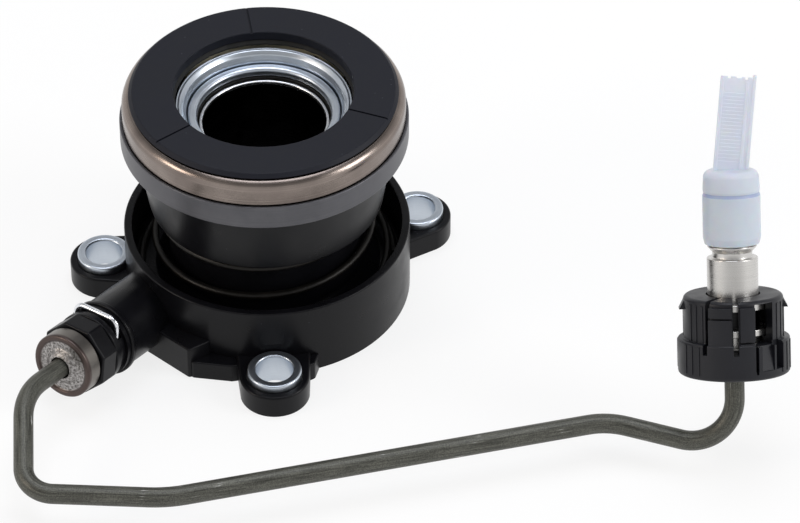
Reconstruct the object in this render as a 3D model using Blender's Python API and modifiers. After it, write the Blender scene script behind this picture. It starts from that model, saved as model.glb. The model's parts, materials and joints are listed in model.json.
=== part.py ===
"""Concentric slave cylinder: an annular hydraulic piston that pushes a clutch release bearing.

The mounting face lies on z = 0 and the input shaft axis is vertical. The bearing, its carrier
and the piston slide on that axis, and the outer race turns on it. The pressure pipe leaves the
housing at the front left, runs in front of the housing and ends in a capped quick connector.
All sizes are in metres.
"""
import math

import bmesh
import bpy
from mathutils import Matrix, Vector

TURN = 2.0 * math.pi

# Facets of the turned pieces
LARGE_STEPS = 36
MEDIUM_STEPS = 28
SMALL_STEPS = 18
SEAL_STEPS = 18
SEAL_SIDES = 5
PASSAGE_STEPS = 10
BALL_SEGMENTS = 8
BALL_RINGS = 5
POCKET_SIDES = 10

# Gaps
GAP = 0.0003
SLIDING_GAP = 0.0004
CUT_MARGIN = 0.0040

# Guide sleeve and pressure chamber
BORE_RADIUS = 0.0150
SLEEVE_WALL = 0.0008
SLEEVE_TOP_Z = 0.0513
SLEEVE_FLANGE_WIDTH = 0.0044
SLEEVE_FLANGE_THICKNESS = 0.0012
CHAMBER_WIDTH = 0.0052
CYLINDER_WALL = 0.0033
CHAMBER_FLOOR_THICKNESS = 0.0027
CYLINDER_FOOT_WIDTH = 0.0034
CYLINDER_FOOT_HEIGHT = 0.0040

# Housing
HOUSING_RADIUS = 0.0353
HOUSING_WALL = 0.0020
HOUSING_RIM_Z = 0.0197
RIM_CHAMFER = 0.0004
SPRING_SEAT_Z = 0.0074
BASE_SEAL_RADIUS = 0.0292
BASE_SEAL_THICKNESS = 0.0017
POCKET_COUNT = 10
POCKET_DEPTH = 0.0030
POCKET_RIB = 0.0020
POCKET_WIDTH = 0.0048
PORT_BLOCK_HEIGHT = 0.0090
FLANGE_HEIGHT = 0.0050
WALL_RIB_WIDTH = 0.0034
WALL_RIB_HEIGHT = 0.0005

# Ears: name, direction in degrees and distance of the bolt axis from the housing's wall
EARS = (
    ("front", -86.5, 0.0064),
    ("right", 26.0, 0.0060),
    ("left", 178.3, 0.0056),
)
EAR_RADIUS = 0.0085
EAR_HEIGHT = 0.0060
EAR_ROOT_WIDTH = 0.0184
BOLT_HOLE_RADIUS = 0.0045
BUSHING_WALL = 0.0021
BUSHING_HEIGHT = 0.0080
BUSHING_CHAMFER = 0.0004

# Outlines on the left front of the base, seen from above
PORT_BLOCK_OUTLINE = (
    (-0.0320, -0.0040), (-0.0368, -0.0130), (-0.0345, -0.0222), (-0.0308, -0.0252),
    (-0.0200, -0.0316), (-0.0146, -0.0330), (-0.0100, -0.0280), (-0.0200, -0.0100),
)
LEFT_FLANGE_OUTLINE = (
    (-0.0200, -0.0300), (-0.0190, -0.0346), (-0.0175, -0.0362), (-0.0080, -0.0376),
    (0.0000, -0.0360), (0.0000, -0.0280),
)
RIGHT_FLANGE_OUTLINE = (
    (0.0060, -0.0380), (0.0090, -0.0386), (0.0122, -0.0364), (0.0132, -0.0326),
    (0.0080, -0.0280), (0.0030, -0.0290),
)

# Release bearing, from its contact face down
FACE_Z = 0.0613
CONTACT_RING_THICKNESS = 0.0011
CONTACT_RING_INNER_RADIUS = 0.0218
CONTACT_RING_INSET = 0.0015
CONTACT_RING_SLOPE = 0.0011
CONTACT_HUB_THICKNESS = 0.0015
CONTACT_HUB_DEPTH = 0.0012
CONTACT_GROOVE_WIDTH = 0.0005
CONTACT_GROOVE_DEPTH = 0.0004
CONTACT_GROOVE_START = 99.0
CONTACT_GROOVE_COUNT = 3
OUTER_RACE_RADIUS = 0.0343
OUTER_RACE_HEIGHT = 0.0120
OUTER_RACE_SHOULDER = 0.0014
OUTER_RACE_FLANGE = 0.0037
OUTER_RACE_WALL = 0.00425
BALL_RADIUS = 0.00325
BALL_COUNT = 12
BALL_INSET = 0.0033
CAGE_THICKNESS = 0.0024
CAGE_RING_HEIGHT = 0.0010
CAGE_FINGER_DEPTH = 0.0012
COVER_SHEET = 0.0007
COVER_HEIGHT = 0.0064
COVER_LIP_GAP = 0.0006
COVER_RUNNING_GAP = 0.0008
INNER_RACE_WALL = 0.0020
INNER_RACE_SEAT = 0.0011
INNER_RACE_SEAT_REACH = 0.0010
INNER_RACE_LIP_RADIUS = 0.0212
INNER_RACE_LIP_Z = 0.0572
INNER_RACE_LIP_HEIGHT = 0.0008
INNER_RACE_LIP_CHAMFER = 0.0004
INNER_RACE_FUNNEL_HEIGHT = 0.0014
# Flared mouth of the inner race: how far each point stands out from the bore, and under the lip
INNER_RACE_MOUTH = ((0.0, 0.0026), (0.0006, 0.0011), (0.0017, 0.0))
SEAL_HEIGHT = 0.0013
WASHER_THICKNESS = 0.0004

# Carrier, retainer and piston
CARRIER_SHOULDER = 0.0037
CARRIER_TAPER = 0.0027
CARRIER_WALL = 0.0012
CARRIER_WEB = 0.0020
CARRIER_SKIRT_HEIGHT = 0.0174
RETAINER_WALL = 0.0009
RETAINER_HEIGHT = 0.0066
RETAINER_CROWN = 0.0020
RETAINER_CROWN_ROUNDING = 0.0014
PISTON_NECK_WALL = 0.0011
PISTON_TUBE_WALL = 0.0021
PISTON_SEAL_HEIGHT = 0.0035
PISTON_SEAL_LIP = 0.0008
RELEASE_STROKE = 0.0140

# Preload spring
SPRING_WIRE_RADIUS = 0.0009
SPRING_FOOT_GAP = 0.0010
SPRING_TURNS = 5.25
SPRING_END_TURNS = 0.6
SPRING_TAPER_HEIGHT = 0.0110
SPRING_POINTS_PER_TURN = 16

# Port: outer face of the ferrule, direction out of the housing
PORT_FACE = (-0.0482, -0.0470, 0.0136)
PORT_AZIMUTH = 236.3
PORT_TILT = 10.2
FERRULE_RADIUS = 0.0082
FERRULE_LENGTH = 0.0046
FERRULE_RIM = 0.0012
FERRULE_RECESS = 0.0005
BRAZE_RADIUS = 0.0046
BRAZE_HEIGHT = 0.0009
CONNECTOR_FLANGE_RADIUS = 0.0094
CONNECTOR_FLANGE_LENGTH = 0.0051
CONNECTOR_FLANGE_SIDES = 8
SPIGOT_RADIUS = 0.0062
SPIGOT_LENGTH = 0.0115
SPIGOT_BORE_RADIUS = 0.0015
BOSS_RADIUS = 0.0090
BOSS_COLLAR_RADIUS = 0.0096
BOSS_COLLAR_LENGTH = 0.0016
BOSS_ROOT_DEPTH = 0.0400
PORT_PILOT_RADIUS = 0.0045
PORT_PILOT_DEPTH = 0.0300
PASSAGE_RADIUS = 0.0010
CLIP_WIRE_RADIUS = 0.00065
CLIP_HALF_WIDTH = 0.0060
CLIP_CORNER_RADIUS = 0.0022
CLIP_LEG_DEPTH = 0.0062
CLIP_DEPTH = 0.0030
CLIP_GROOVE_DEPTH = 0.0008
CONNECTOR_SEAL_RADIUS = 0.00060
CONNECTOR_SEAL_DEPTH = 0.0090

# Pipe: its outer size, and the corners of its route with their bend radii
PIPE_RADIUS = 0.0024
PIPE_WALL = 0.0007
PIPE_BEND_STEP = math.radians(14.0)
PIPE_PORT_STRAIGHT = 0.0150
PIPE_FITTING_STRAIGHT = 0.0196
PIPE_ENGAGEMENT = 0.0060
PIPE_MIDDLE_CORNERS = (
    ((-0.0549, -0.0863, 0.0100), 0.0075),
    ((-0.0214, -0.0880, 0.0100), 0.0300),
    ((0.0820, -0.0622, 0.0100), 0.0180),
)
PIPE_PORT_BEND = 0.0170
PIPE_FITTING_BEND = 0.0105

# Connector at the far end: centre of the collar's lower face, lean of its axis to the back and side
FITTING_BASE = (0.1115, -0.0603, 0.0245)
FITTING_LEAN = 31.0
FITTING_SIDE_LEAN = -2.1
COLLAR_HEIGHT = 0.0187
COLLAR_BAND_HEIGHT = 0.0086
COLLAR_BAND_RADIUS = 0.0132
COLLAR_RADIUS = 0.01175
COLLAR_CHAMFER = 0.0009
COLLAR_WALL = 0.0025
COLLAR_TOP_LIP = 0.0010
COLLAR_SLOT_WIDTH = 0.0009
COLLAR_SLOT_FOOT = 0.0062
COLLAR_WIDE_SLOT_WIDTH = 0.0016
COLLAR_WINDOW_HEIGHT = 0.0090
COLLAR_WINDOW_WIDTH = 0.0046
COLLAR_WINDOW_SILL = 0.0006
COLLAR_BARB = 0.0010
COLLAR_BARB_WIDTH = 0.0032
COLLAR_RECESS_FOOT = 0.0022
COLLAR_RECESS_WIDTH = 0.0064
COLLAR_RECESS_DEPTH = 0.0018
COLLAR_RAMP_WIDTH = 0.0032
COLLAR_RAMP_RISE = 0.0014
# Directions of the collar's slots, in degrees from its front
NARROW_SLOT_ANGLE = -34.0
WIDE_SLOT_ANGLE = 0.0
BAND_SLOT_ANGLE = 21.6
WINDOW_ANGLE = 35.0
RECESS_ANGLE = 41.0
RAMP_ANGLE = 35.0
BARREL_RADIUS = 0.0060
BARREL_TOP = 0.0275
BARREL_CHAMFER = 0.0003
FITTING_NECK_RADIUS = 0.0047
FITTING_NECK_LENGTH = 0.0013
FITTING_LAND_RADIUS = 0.0058
FITTING_LAND_LENGTH = 0.0016
FITTING_LAND_EDGE = 0.0004
FITTING_TIP_RADIUS = 0.0053
FITTING_TIP_TOP = 0.0427
FITTING_TIP_CHAMFER = 0.0009
UPPER_FLANGE_RADIUS = 0.0080
LOWER_FLANGE_RADIUS = 0.0089
FITTING_FLANGE_THICKNESS = 0.0016
FLANGE_SPACING = 0.0061
FITTING_BODY_RADIUS = 0.0076
FITTING_BODY_LENGTH = 0.0030
FITTING_ROOT_RADIUS = 0.0045
FITTING_SEAL_RADIUS = 0.00055
FITTING_SEAL_Z = 0.0409

# Protective cap
CAP_WALL = 0.0007
CAP_TOP_THICKNESS = 0.0012
CAP_LENGTH = 0.0174
CAP_SHOULDER = 0.0018
STRAP_WIDTH = 0.0082
STRAP_THICKNESS = 0.0012
STRAP_LENGTH = 0.0225
STRAP_LEAN = 5.8
STRAP_RIB_WIDTH = 0.0011
STRAP_RIB_HEIGHT = 0.0004
STRAP_RIB_OVERHANG = 0.0001
STRAP_RIB_STOP = 0.0004

# Derived sizes
SLEEVE_RADIUS = BORE_RADIUS + SLEEVE_WALL
CYLINDER_BORE = SLEEVE_RADIUS + CHAMBER_WIDTH
CYLINDER_RADIUS = CYLINDER_BORE + CYLINDER_WALL
SLEEVE_RECESS_Z = GAP + SLEEVE_FLANGE_THICKNESS + GAP
CHAMBER_FLOOR_Z = SLEEVE_RECESS_Z + CHAMBER_FLOOR_THICKNESS
CAVITY_RADIUS = HOUSING_RADIUS - HOUSING_WALL
BUSHING_RADIUS = BOLT_HOLE_RADIUS + BUSHING_WALL

RACE_TOP_Z = FACE_Z - CONTACT_RING_THICKNESS - GAP
RACE_BOTTOM_Z = RACE_TOP_Z - OUTER_RACE_HEIGHT
COVER_BOTTOM_Z = RACE_BOTTOM_Z - GAP - COVER_SHEET
COVER_TOP_Z = COVER_BOTTOM_Z + COVER_HEIGHT
COVER_RADIUS = OUTER_RACE_RADIUS + COVER_SHEET
CONTACT_RING_BASE_RADIUS = OUTER_RACE_RADIUS - CONTACT_RING_INSET
CONTACT_RING_TOP_RADIUS = CONTACT_RING_BASE_RADIUS - CONTACT_RING_SLOPE
CARRIER_TOP_Z = COVER_BOTTOM_Z - COVER_RUNNING_GAP
BALL_Z = RACE_BOTTOM_Z + BALL_INSET
RACEWAY_RADIUS = BALL_RADIUS + GAP
BALL_PITCH_RADIUS = OUTER_RACE_RADIUS - OUTER_RACE_WALL - RACEWAY_RADIUS
INNER_RACE_SEAT_RADIUS = BALL_PITCH_RADIUS + INNER_RACE_SEAT_REACH
COVER_LIP_RADIUS = INNER_RACE_SEAT_RADIUS + COVER_LIP_GAP
CARRIER_SEAT_RADIUS = INNER_RACE_SEAT_RADIUS + GAP
CARRIER_RIM_RADIUS = CARRIER_SEAT_RADIUS + CARRIER_SHOULDER
CARRIER_FOOT_RADIUS = CARRIER_RIM_RADIUS - CARRIER_TAPER
INNER_RACE_BOTTOM_Z = BALL_Z - RACEWAY_RADIUS - INNER_RACE_SEAT
WASHER_Z = INNER_RACE_BOTTOM_Z - GAP - WASHER_THICKNESS
CARRIER_SEAT_Z = WASHER_Z - GAP
WEB_BOTTOM_Z = CARRIER_SEAT_Z - CARRIER_WEB
PISTON_SHOULDER_Z = WEB_BOTTOM_Z - GAP
CYLINDER_TOP_Z = WEB_BOTTOM_Z - RELEASE_STROKE - 2.0 * GAP
SEAL_BOTTOM_Z = CHAMBER_FLOOR_Z + RELEASE_STROKE + GAP
PISTON_BOTTOM_Z = SEAL_BOTTOM_Z + PISTON_SEAL_HEIGHT + GAP

PISTON_BORE = SLEEVE_RADIUS + SLIDING_GAP
PISTON_TUBE_RADIUS = PISTON_BORE + PISTON_TUBE_WALL
PISTON_NECK_RADIUS = PISTON_BORE + PISTON_NECK_WALL
RETAINER_BORE = PISTON_NECK_RADIUS + GAP
RETAINER_RADIUS = RETAINER_BORE + RETAINER_WALL
HUB_BORE = PISTON_TUBE_RADIUS + GAP
INNER_RACE_BORE = max(RETAINER_RADIUS, PISTON_TUBE_RADIUS) + GAP
RACE_FLANGE_BORE = CONTACT_RING_INNER_RADIUS + CONTACT_HUB_THICKNESS + GAP

SPRING_FOOT_RADIUS = CAVITY_RADIUS - SPRING_FOOT_GAP - SPRING_WIRE_RADIUS
SPRING_TOP_RADIUS = (CYLINDER_RADIUS + GAP + SPRING_WIRE_RADIUS) / math.cos(math.pi / SPRING_POINTS_PER_TURN)
PORT_BORE_RADIUS = SPIGOT_RADIUS + GAP
BOSS_FACE_DEPTH = FERRULE_LENGTH + GAP + CONNECTOR_FLANGE_LENGTH + GAP
CLIP_GROOVE_RADIUS = BOSS_RADIUS - CLIP_GROOVE_DEPTH

LOWER_FLANGE_Z = COLLAR_HEIGHT - COLLAR_TOP_LIP - GAP - FITTING_FLANGE_THICKNESS - FLANGE_SPACING
UPPER_FLANGE_Z = LOWER_FLANGE_Z + FLANGE_SPACING
CAP_CAVITY_RADIUS = FITTING_LAND_RADIUS + GAP
CAP_RADIUS = CAP_CAVITY_RADIUS + CAP_WALL
CAP_BOTTOM = BARREL_TOP + FITTING_NECK_LENGTH + FITTING_LAND_LENGTH + GAP


def linear(hex_colour):
    """Turn an sRGB hex colour into linear RGBA."""
    channels = [int(hex_colour[i:i + 2], 16) / 255.0 for i in (0, 2, 4)]
    return [c / 12.92 if c <= 0.04045 else ((c + 0.055) / 1.055) ** 2.4 for c in channels] + [1.0]


def finish(name, hex_colour, roughness, metallic=0.0):
    """Make a Principled material."""
    material = bpy.data.materials.new(name)
    material.use_nodes = True
    shader = material.node_tree.nodes["Principled BSDF"]
    shader.inputs["Base Color"].default_value = linear(hex_colour)
    shader.inputs["Roughness"].default_value = roughness
    shader.inputs["Metallic"].default_value = metallic
    material.diffuse_color = linear(hex_colour)
    return material


class Workshop:
    """Holds the two collections and puts objects into them."""

    def __init__(self, title):
        for old in list(bpy.data.objects):
            bpy.data.objects.remove(old, do_unlink=True)
        self.parts = bpy.data.collections.new(title)
        self.cutters = bpy.data.collections.new(title + " cutters")
        for collection in (self.parts, self.cutters):
            bpy.context.scene.collection.children.link(collection)

    def frame(self, name, parent=None, location=(0.0, 0.0, 0.0), rotation=None):
        """Add an empty that carries a group of pieces."""
        empty = bpy.data.objects.new(name, None)
        empty.empty_display_size = 0.01
        empty.location = location
        if rotation is not None:
            empty.rotation_euler = rotation.to_euler()
        empty.parent = parent
        self.parts.objects.link(empty)
        return empty

    def piece(self, name, mesh, parent, material, location=(0.0, 0.0, 0.0), angle=0.0):
        """Add one sub-part of the model."""
        obj = bpy.data.objects.new(name, mesh)
        obj.parent = parent
        obj.location = location
        obj.rotation_euler = (0.0, 0.0, angle)
        if material.name not in mesh.materials:
            mesh.materials.append(material)
        self.parts.objects.link(obj)
        return obj

    def group(self, name):
        """Add a collection of tools that act together."""
        collection = bpy.data.collections.new(name)
        self.cutters.children.link(collection)
        return collection

    def tool(self, name, mesh, parent, location=(0.0, 0.0, 0.0), angle=0.0, group=None):
        """Add a solid that only joins or cuts others."""
        obj = bpy.data.objects.new(name, mesh)
        obj.parent = parent
        obj.location = location
        obj.rotation_euler = (0.0, 0.0, angle)
        obj.hide_render = True
        obj.display_type = "WIRE"
        (group or self.cutters).objects.link(obj)
        return obj


def profile_mesh(name, points):
    """Make the closed outline of a turned section, in the XZ plane."""
    mesh = bpy.data.meshes.new(name)
    edges = [(i, (i + 1) % len(points)) for i in range(len(points))]
    if points[0][0] == 0.0 and points[-1][0] == 0.0:
        edges.pop()
    mesh.from_pydata([(radius, 0.0, z) for radius, z in points], edges, [])
    return mesh


def spin(obj, steps=MEDIUM_STEPS):
    """Turn an outline round the object's Z axis."""
    screw = obj.modifiers.new("Turned", "SCREW")
    screw.angle = TURN
    screw.steps = steps
    screw.render_steps = steps
    screw.use_merge_vertices = True
    screw.merge_threshold = 0.000001
    screw.use_smooth_shade = True
    return obj


def boolean(obj, other, operation):
    """Add one exact Boolean."""
    step = obj.modifiers.new(other.name, "BOOLEAN")
    step.operation = operation
    step.solver = "EXACT"
    step.object = other
    return obj


def boolean_group(obj, group, operation):
    """Add one exact Boolean with all the tools of a collection."""
    step = obj.modifiers.new(group.name, "BOOLEAN")
    step.operation = operation
    step.solver = "EXACT"
    step.operand_type = "COLLECTION"
    step.collection = group
    return obj


def join(obj, *others):
    """Fuse tools into an object."""
    for other in others:
        boolean(obj, other, "UNION")


def cut(obj, *others):
    """Cut tools out of an object."""
    for other in others:
        boolean(obj, other, "DIFFERENCE")


def arc(centre, radius, start, end, count):
    """Points on an arc, angles in degrees, both ends included."""
    return [
        (
            centre[0] + radius * math.cos(math.radians(start + (end - start) * i / (count - 1))),
            centre[1] + radius * math.sin(math.radians(start + (end - start) * i / (count - 1))),
        )
        for i in range(count)
    ]


def seal_profile(radius, section, z):
    """Round section of an O-ring, clockwise so that its outer side runs down."""
    return [
        (radius + section * math.cos(-TURN * i / SEAL_SIDES), z + section * math.sin(-TURN * i / SEAL_SIDES))
        for i in range(SEAL_SIDES)
    ]


def rod_mesh(name, radius, bottom, top, steps=SMALL_STEPS, top_radius=None):
    """Closed cylinder or cone along Z."""
    mesh = bpy.data.meshes.new(name)
    form = bmesh.new()
    bmesh.ops.create_cone(
        form, cap_ends=True, segments=steps, radius1=radius,
        radius2=radius if top_radius is None else top_radius, depth=top - bottom,
        matrix=Matrix.Translation((0.0, 0.0, 0.5 * (bottom + top))),
    )
    form.to_mesh(mesh)
    form.free()
    return mesh


def box_mesh(name, low, high):
    """Closed box between two corners."""
    mesh = bpy.data.meshes.new(name)
    form = bmesh.new()
    size = [high[i] - low[i] for i in range(3)]
    centre = [0.5 * (high[i] + low[i]) for i in range(3)]
    bmesh.ops.create_cube(form, size=1.0, matrix=Matrix.Translation(centre) @ Matrix.Diagonal((*size, 1.0)))
    form.to_mesh(mesh)
    form.free()
    return mesh


def curve_mesh(name, curve):
    """Turn a curve into a mesh with welded caps."""
    holder = bpy.data.objects.new(name + " curve", curve)
    bpy.context.scene.collection.objects.link(holder)
    bpy.context.view_layer.update()
    evaluated = holder.evaluated_get(bpy.context.evaluated_depsgraph_get())
    mesh = bpy.data.meshes.new_from_object(evaluated)
    mesh.name = name
    form = bmesh.new()
    form.from_mesh(mesh)
    bmesh.ops.remove_doubles(form, verts=form.verts, dist=0.000001)
    bmesh.ops.recalc_face_normals(form, faces=form.faces)
    form.to_mesh(mesh)
    form.free()
    bpy.data.objects.remove(holder, do_unlink=True)
    return mesh


def plate_mesh(name, outline, bottom, top):
    """Flat outline in XY, thickened from bottom to top."""
    curve = bpy.data.curves.new(name, "CURVE")
    curve.dimensions = "2D"
    curve.fill_mode = "BOTH"
    curve.extrude = 0.5 * (top - bottom)
    spline = curve.splines.new("POLY")
    spline.points.add(len(outline) - 1)
    for point, (x, y) in zip(spline.points, outline):
        point.co = (x, y, 0.0, 1.0)
    spline.use_cyclic_u = True
    mesh = curve_mesh(name, curve)
    mesh.transform(Matrix.Translation((0.0, 0.0, 0.5 * (bottom + top))))
    return mesh


def wire_curve(name, points, radius, resolution=2, caps=True):
    """Round wire or tube through a list of points."""
    curve = bpy.data.curves.new(name, "CURVE")
    curve.dimensions = "3D"
    curve.bevel_depth = radius
    curve.bevel_resolution = resolution
    curve.use_fill_caps = caps
    spline = curve.splines.new("POLY")
    spline.points.add(len(points) - 1)
    for point, place in zip(spline.points, points):
        point.co = (*place, 1.0)
    return curve


def bent_route(corners, radii, step):
    """Straight runs between corners, with an arc of its own radius at each inner corner."""
    points = [Vector(corners[0])]
    for before, corner, after, radius in zip(corners, corners[1:], corners[2:], radii):
        corner = Vector(corner)
        back = (Vector(before) - corner).normalized()
        ahead = (Vector(after) - corner).normalized()
        turned = math.pi - back.angle(ahead)
        reach = radius * math.tan(0.5 * turned)
        centre = corner + (back + ahead).normalized() * (radius / math.cos(0.5 * turned))
        start = corner + back * reach - centre
        axis = start.cross(corner + ahead * reach - centre).normalized()
        count = max(2, math.ceil(turned / step))
        for i in range(count + 1):
            points.append(centre + Matrix.Rotation(turned * i / count, 3, axis) @ start)
    points.append(Vector(corners[-1]))
    return points


def polar(radius, degrees):
    """Point in XY at a radius and a direction."""
    return (radius * math.cos(math.radians(degrees)), radius * math.sin(math.radians(degrees)))


def port_frame_rotation():
    """Axes of the port: X level, Y up, Z out of the housing."""
    azimuth = math.radians(PORT_AZIMUTH)
    tilt = math.radians(PORT_TILT)
    out = Vector((math.cos(tilt) * math.cos(azimuth), math.cos(tilt) * math.sin(azimuth), math.sin(tilt)))
    level = Vector((-math.sin(azimuth), math.cos(azimuth), 0.0))
    return Matrix((level, out.cross(level), out)).transposed()


def ear_outline(distance):
    """Ear seen from above, pointing along +X: a round end and a wider root."""
    root = CAVITY_RADIUS - HOUSING_WALL
    half = 0.5 * EAR_ROOT_WIDTH
    return [(root, -half)] + arc((distance, 0.0), EAR_RADIUS, -80.0, 80.0, 11) + [(root, half)]


def build_housing(shop, root, port, material):
    """Moulded cup: one body with ears, port boss and pressure cylinder."""
    below = -CUT_MARGIN
    blank = [
        (0.0, CYLINDER_TOP_Z),
        (CYLINDER_RADIUS + GAP, CYLINDER_TOP_Z),
        (CYLINDER_RADIUS + GAP, HOUSING_RIM_Z),
        (HOUSING_RADIUS - RIM_CHAMFER, HOUSING_RIM_Z),
        (HOUSING_RADIUS, HOUSING_RIM_Z - RIM_CHAMFER),
        (HOUSING_RADIUS, 0.25 * below),
        (0.0, 0.25 * below),
    ]
    housing = spin(shop.piece("housing", profile_mesh("housing", blank), root, material), LARGE_STEPS)

    added = shop.group("housing additions")
    for name, angle, reach in EARS:
        plate = plate_mesh("ear " + name, ear_outline(HOUSING_RADIUS + reach), 0.5 * below, EAR_HEIGHT)
        shop.tool("ear " + name, plate, root, angle=math.radians(angle), group=added)
    block = plate_mesh("port block", PORT_BLOCK_OUTLINE, 0.75 * below, PORT_BLOCK_HEIGHT)
    left = plate_mesh("left flange", LEFT_FLANGE_OUTLINE, 0.6 * below, FLANGE_HEIGHT)
    right = plate_mesh("right flange", RIGHT_FLANGE_OUTLINE, 0.6 * below, FLANGE_HEIGHT)
    rib = box_mesh(
        "wall rib",
        (-0.5 * WALL_RIB_WIDTH, -HOUSING_RADIUS - WALL_RIB_HEIGHT, 0.5 * FLANGE_HEIGHT),
        (0.5 * WALL_RIB_WIDTH, -HOUSING_RADIUS + HOUSING_WALL, HOUSING_RIM_Z - 3.0 * RIM_CHAMFER),
    )
    boss = rod_mesh("port boss", BOSS_RADIUS, -BOSS_ROOT_DEPTH, -BOSS_FACE_DEPTH)
    collar_back = -BOSS_FACE_DEPTH - CLIP_DEPTH - 4.0 * CLIP_WIRE_RADIUS
    collar = rod_mesh("boss collar", BOSS_COLLAR_RADIUS, collar_back - BOSS_COLLAR_LENGTH, collar_back)
    for mesh in (block, left, right, rib):
        shop.tool(mesh.name, mesh, root, group=added)
    for mesh in (boss, collar):
        shop.tool(mesh.name, mesh, port, group=added)
    boolean_group(housing, added, "UNION")

    above = CYLINDER_TOP_Z + CUT_MARGIN
    cavity = [
        (CAVITY_RADIUS, above),
        (CAVITY_RADIUS, SPRING_SEAT_Z),
        (CYLINDER_RADIUS + CYLINDER_FOOT_WIDTH, SPRING_SEAT_Z),
        (CYLINDER_RADIUS, SPRING_SEAT_Z + CYLINDER_FOOT_HEIGHT),
        (CYLINDER_RADIUS, above),
    ]
    groove_low = SLEEVE_RECESS_Z + 0.25 * CHAMBER_FLOOR_THICKNESS
    groove_high = SLEEVE_RECESS_Z + 0.75 * CHAMBER_FLOOR_THICKNESS
    floor_bore = SLEEVE_RADIUS + GAP
    groove_radius = floor_bore + 0.5 * CHAMBER_FLOOR_THICKNESS
    recess_radius = SLEEVE_RADIUS + SLEEVE_FLANGE_WIDTH + GAP
    bore = [
        (0.0, above),
        (CYLINDER_BORE, above),
        (CYLINDER_BORE, CHAMBER_FLOOR_Z),
        (floor_bore, CHAMBER_FLOOR_Z),
        (floor_bore, groove_high),
        (groove_radius, groove_high),
        (groove_radius, groove_low),
        (floor_bore, groove_low),
        (floor_bore, SLEEVE_RECESS_Z),
        (recess_radius, SLEEVE_RECESS_Z),
        (recess_radius, 2.0 * below),
        (0.0, 2.0 * below),
    ]
    half = 0.5 * BASE_SEAL_THICKNESS + GAP
    seal_groove = [
        (BASE_SEAL_RADIUS + half, BASE_SEAL_THICKNESS + 2.0 * GAP),
        (BASE_SEAL_RADIUS + half, 2.0 * below),
        (BASE_SEAL_RADIUS - half, 2.0 * below),
        (BASE_SEAL_RADIUS - half, BASE_SEAL_THICKNESS + 2.0 * GAP),
    ]
    removed = shop.group("housing cuts")
    for name, loop, steps in (
        ("spring space", cavity, LARGE_STEPS),
        ("chamber", bore, MEDIUM_STEPS),
        ("base seal groove", seal_groove, MEDIUM_STEPS),
    ):
        spin(shop.tool(name, profile_mesh(name, loop), root, group=removed), steps)

    for name, angle, reach in EARS:
        hole = rod_mesh("hole " + name, BUSHING_RADIUS + GAP, 0.5 * below, EAR_HEIGHT + CUT_MARGIN)
        shop.tool("hole " + name, hole, root, (*polar(HOUSING_RADIUS + reach, angle), 0.0), group=removed)
    cut_pockets(shop, root, removed)
    cut_port(shop, root, port, removed)

    span = 4.0 * HOUSING_RADIUS
    mounting_plane = box_mesh("mounting plane", (-span, -span, -span), (span, span, 0.0))
    shop.tool("mounting plane", mounting_plane, root, group=removed)
    boolean_group(housing, removed, "DIFFERENCE")


def cut_pockets(shop, root, group):
    """Moulded pockets under the floor, with ribs left between them."""
    inner = BASE_SEAL_RADIUS - 0.5 * BASE_SEAL_THICKNESS - 2.0 * GAP - POCKET_WIDTH
    outer = inner + POCKET_WIDTH - POCKET_RIB
    half = 180.0 / POCKET_COUNT - math.degrees(0.5 * POCKET_RIB / inner)
    outline = arc((0.0, 0.0), outer, -half, half, 5) + arc((0.0, 0.0), inner, half, -half, 4)
    mesh = plate_mesh("pocket", outline, -CUT_MARGIN, POCKET_DEPTH)
    for i in range(POCKET_COUNT):
        shop.tool("pocket %d" % (i + 1), mesh, root, angle=TURN * (i + 0.5) / POCKET_COUNT, group=group)


def cut_port(shop, root, port, group):
    """Socket for the spigot, drilled passage to the chamber, and the clip's slots."""
    socket_end = -BOSS_FACE_DEPTH - SPIGOT_LENGTH - GAP
    socket = rod_mesh("port socket", PORT_BORE_RADIUS, socket_end, -BOSS_FACE_DEPTH + CUT_MARGIN)
    pilot = rod_mesh("port pilot", PORT_PILOT_RADIUS, -PORT_PILOT_DEPTH, socket_end + GAP)
    for mesh in (socket, pilot):
        shop.tool(mesh.name, mesh, port, group=group)

    azimuth = math.radians(PORT_AZIMUTH)
    inward = Vector((-math.cos(azimuth), -math.sin(azimuth), 0.0))
    start = Vector(PORT_FACE) + inward * (PORT_PILOT_DEPTH - 2.0 * PASSAGE_RADIUS) * math.cos(math.radians(PORT_TILT))
    start.z = 0.5 * (CHAMBER_FLOOR_Z + SPRING_SEAT_Z) - GAP
    along = -Vector((start.x, start.y)).dot(Vector((inward.x, inward.y)))
    offset = abs(start.x * inward.y - start.y * inward.x)
    middle = 0.5 * (SLEEVE_RADIUS + CYLINDER_BORE)
    length = along - math.sqrt(max(middle ** 2 - offset ** 2, 0.0))
    drilling = rod_mesh("passage", PASSAGE_RADIUS, 0.0, length, PASSAGE_STEPS)
    passage = shop.tool("passage", drilling, root, start, group=group)
    passage.rotation_euler = inward.to_track_quat("Z", "Y").to_euler()

    clip_z = -BOSS_FACE_DEPTH - CLIP_DEPTH
    slot_half = CLIP_WIRE_RADIUS + GAP
    ring = [
        (BOSS_COLLAR_RADIUS + CUT_MARGIN, clip_z + slot_half + GAP),
        (BOSS_COLLAR_RADIUS + CUT_MARGIN, clip_z - slot_half - GAP),
        (CLIP_GROOVE_RADIUS, clip_z - slot_half - GAP),
        (CLIP_GROOVE_RADIUS, clip_z + slot_half + GAP),
    ]
    spin(shop.tool("clip groove", profile_mesh("clip groove", ring), port, group=group), SMALL_STEPS)
    for side in (-1.0, 1.0):
        x = side * CLIP_HALF_WIDTH
        slot = box_mesh(
            "clip slot", (x - slot_half, -CLIP_LEG_DEPTH - 2.0 * GAP, clip_z - slot_half),
            (x + slot_half, BOSS_COLLAR_RADIUS + CUT_MARGIN, clip_z + slot_half),
        )
        shop.tool("clip slot", slot, port, group=group)


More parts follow.
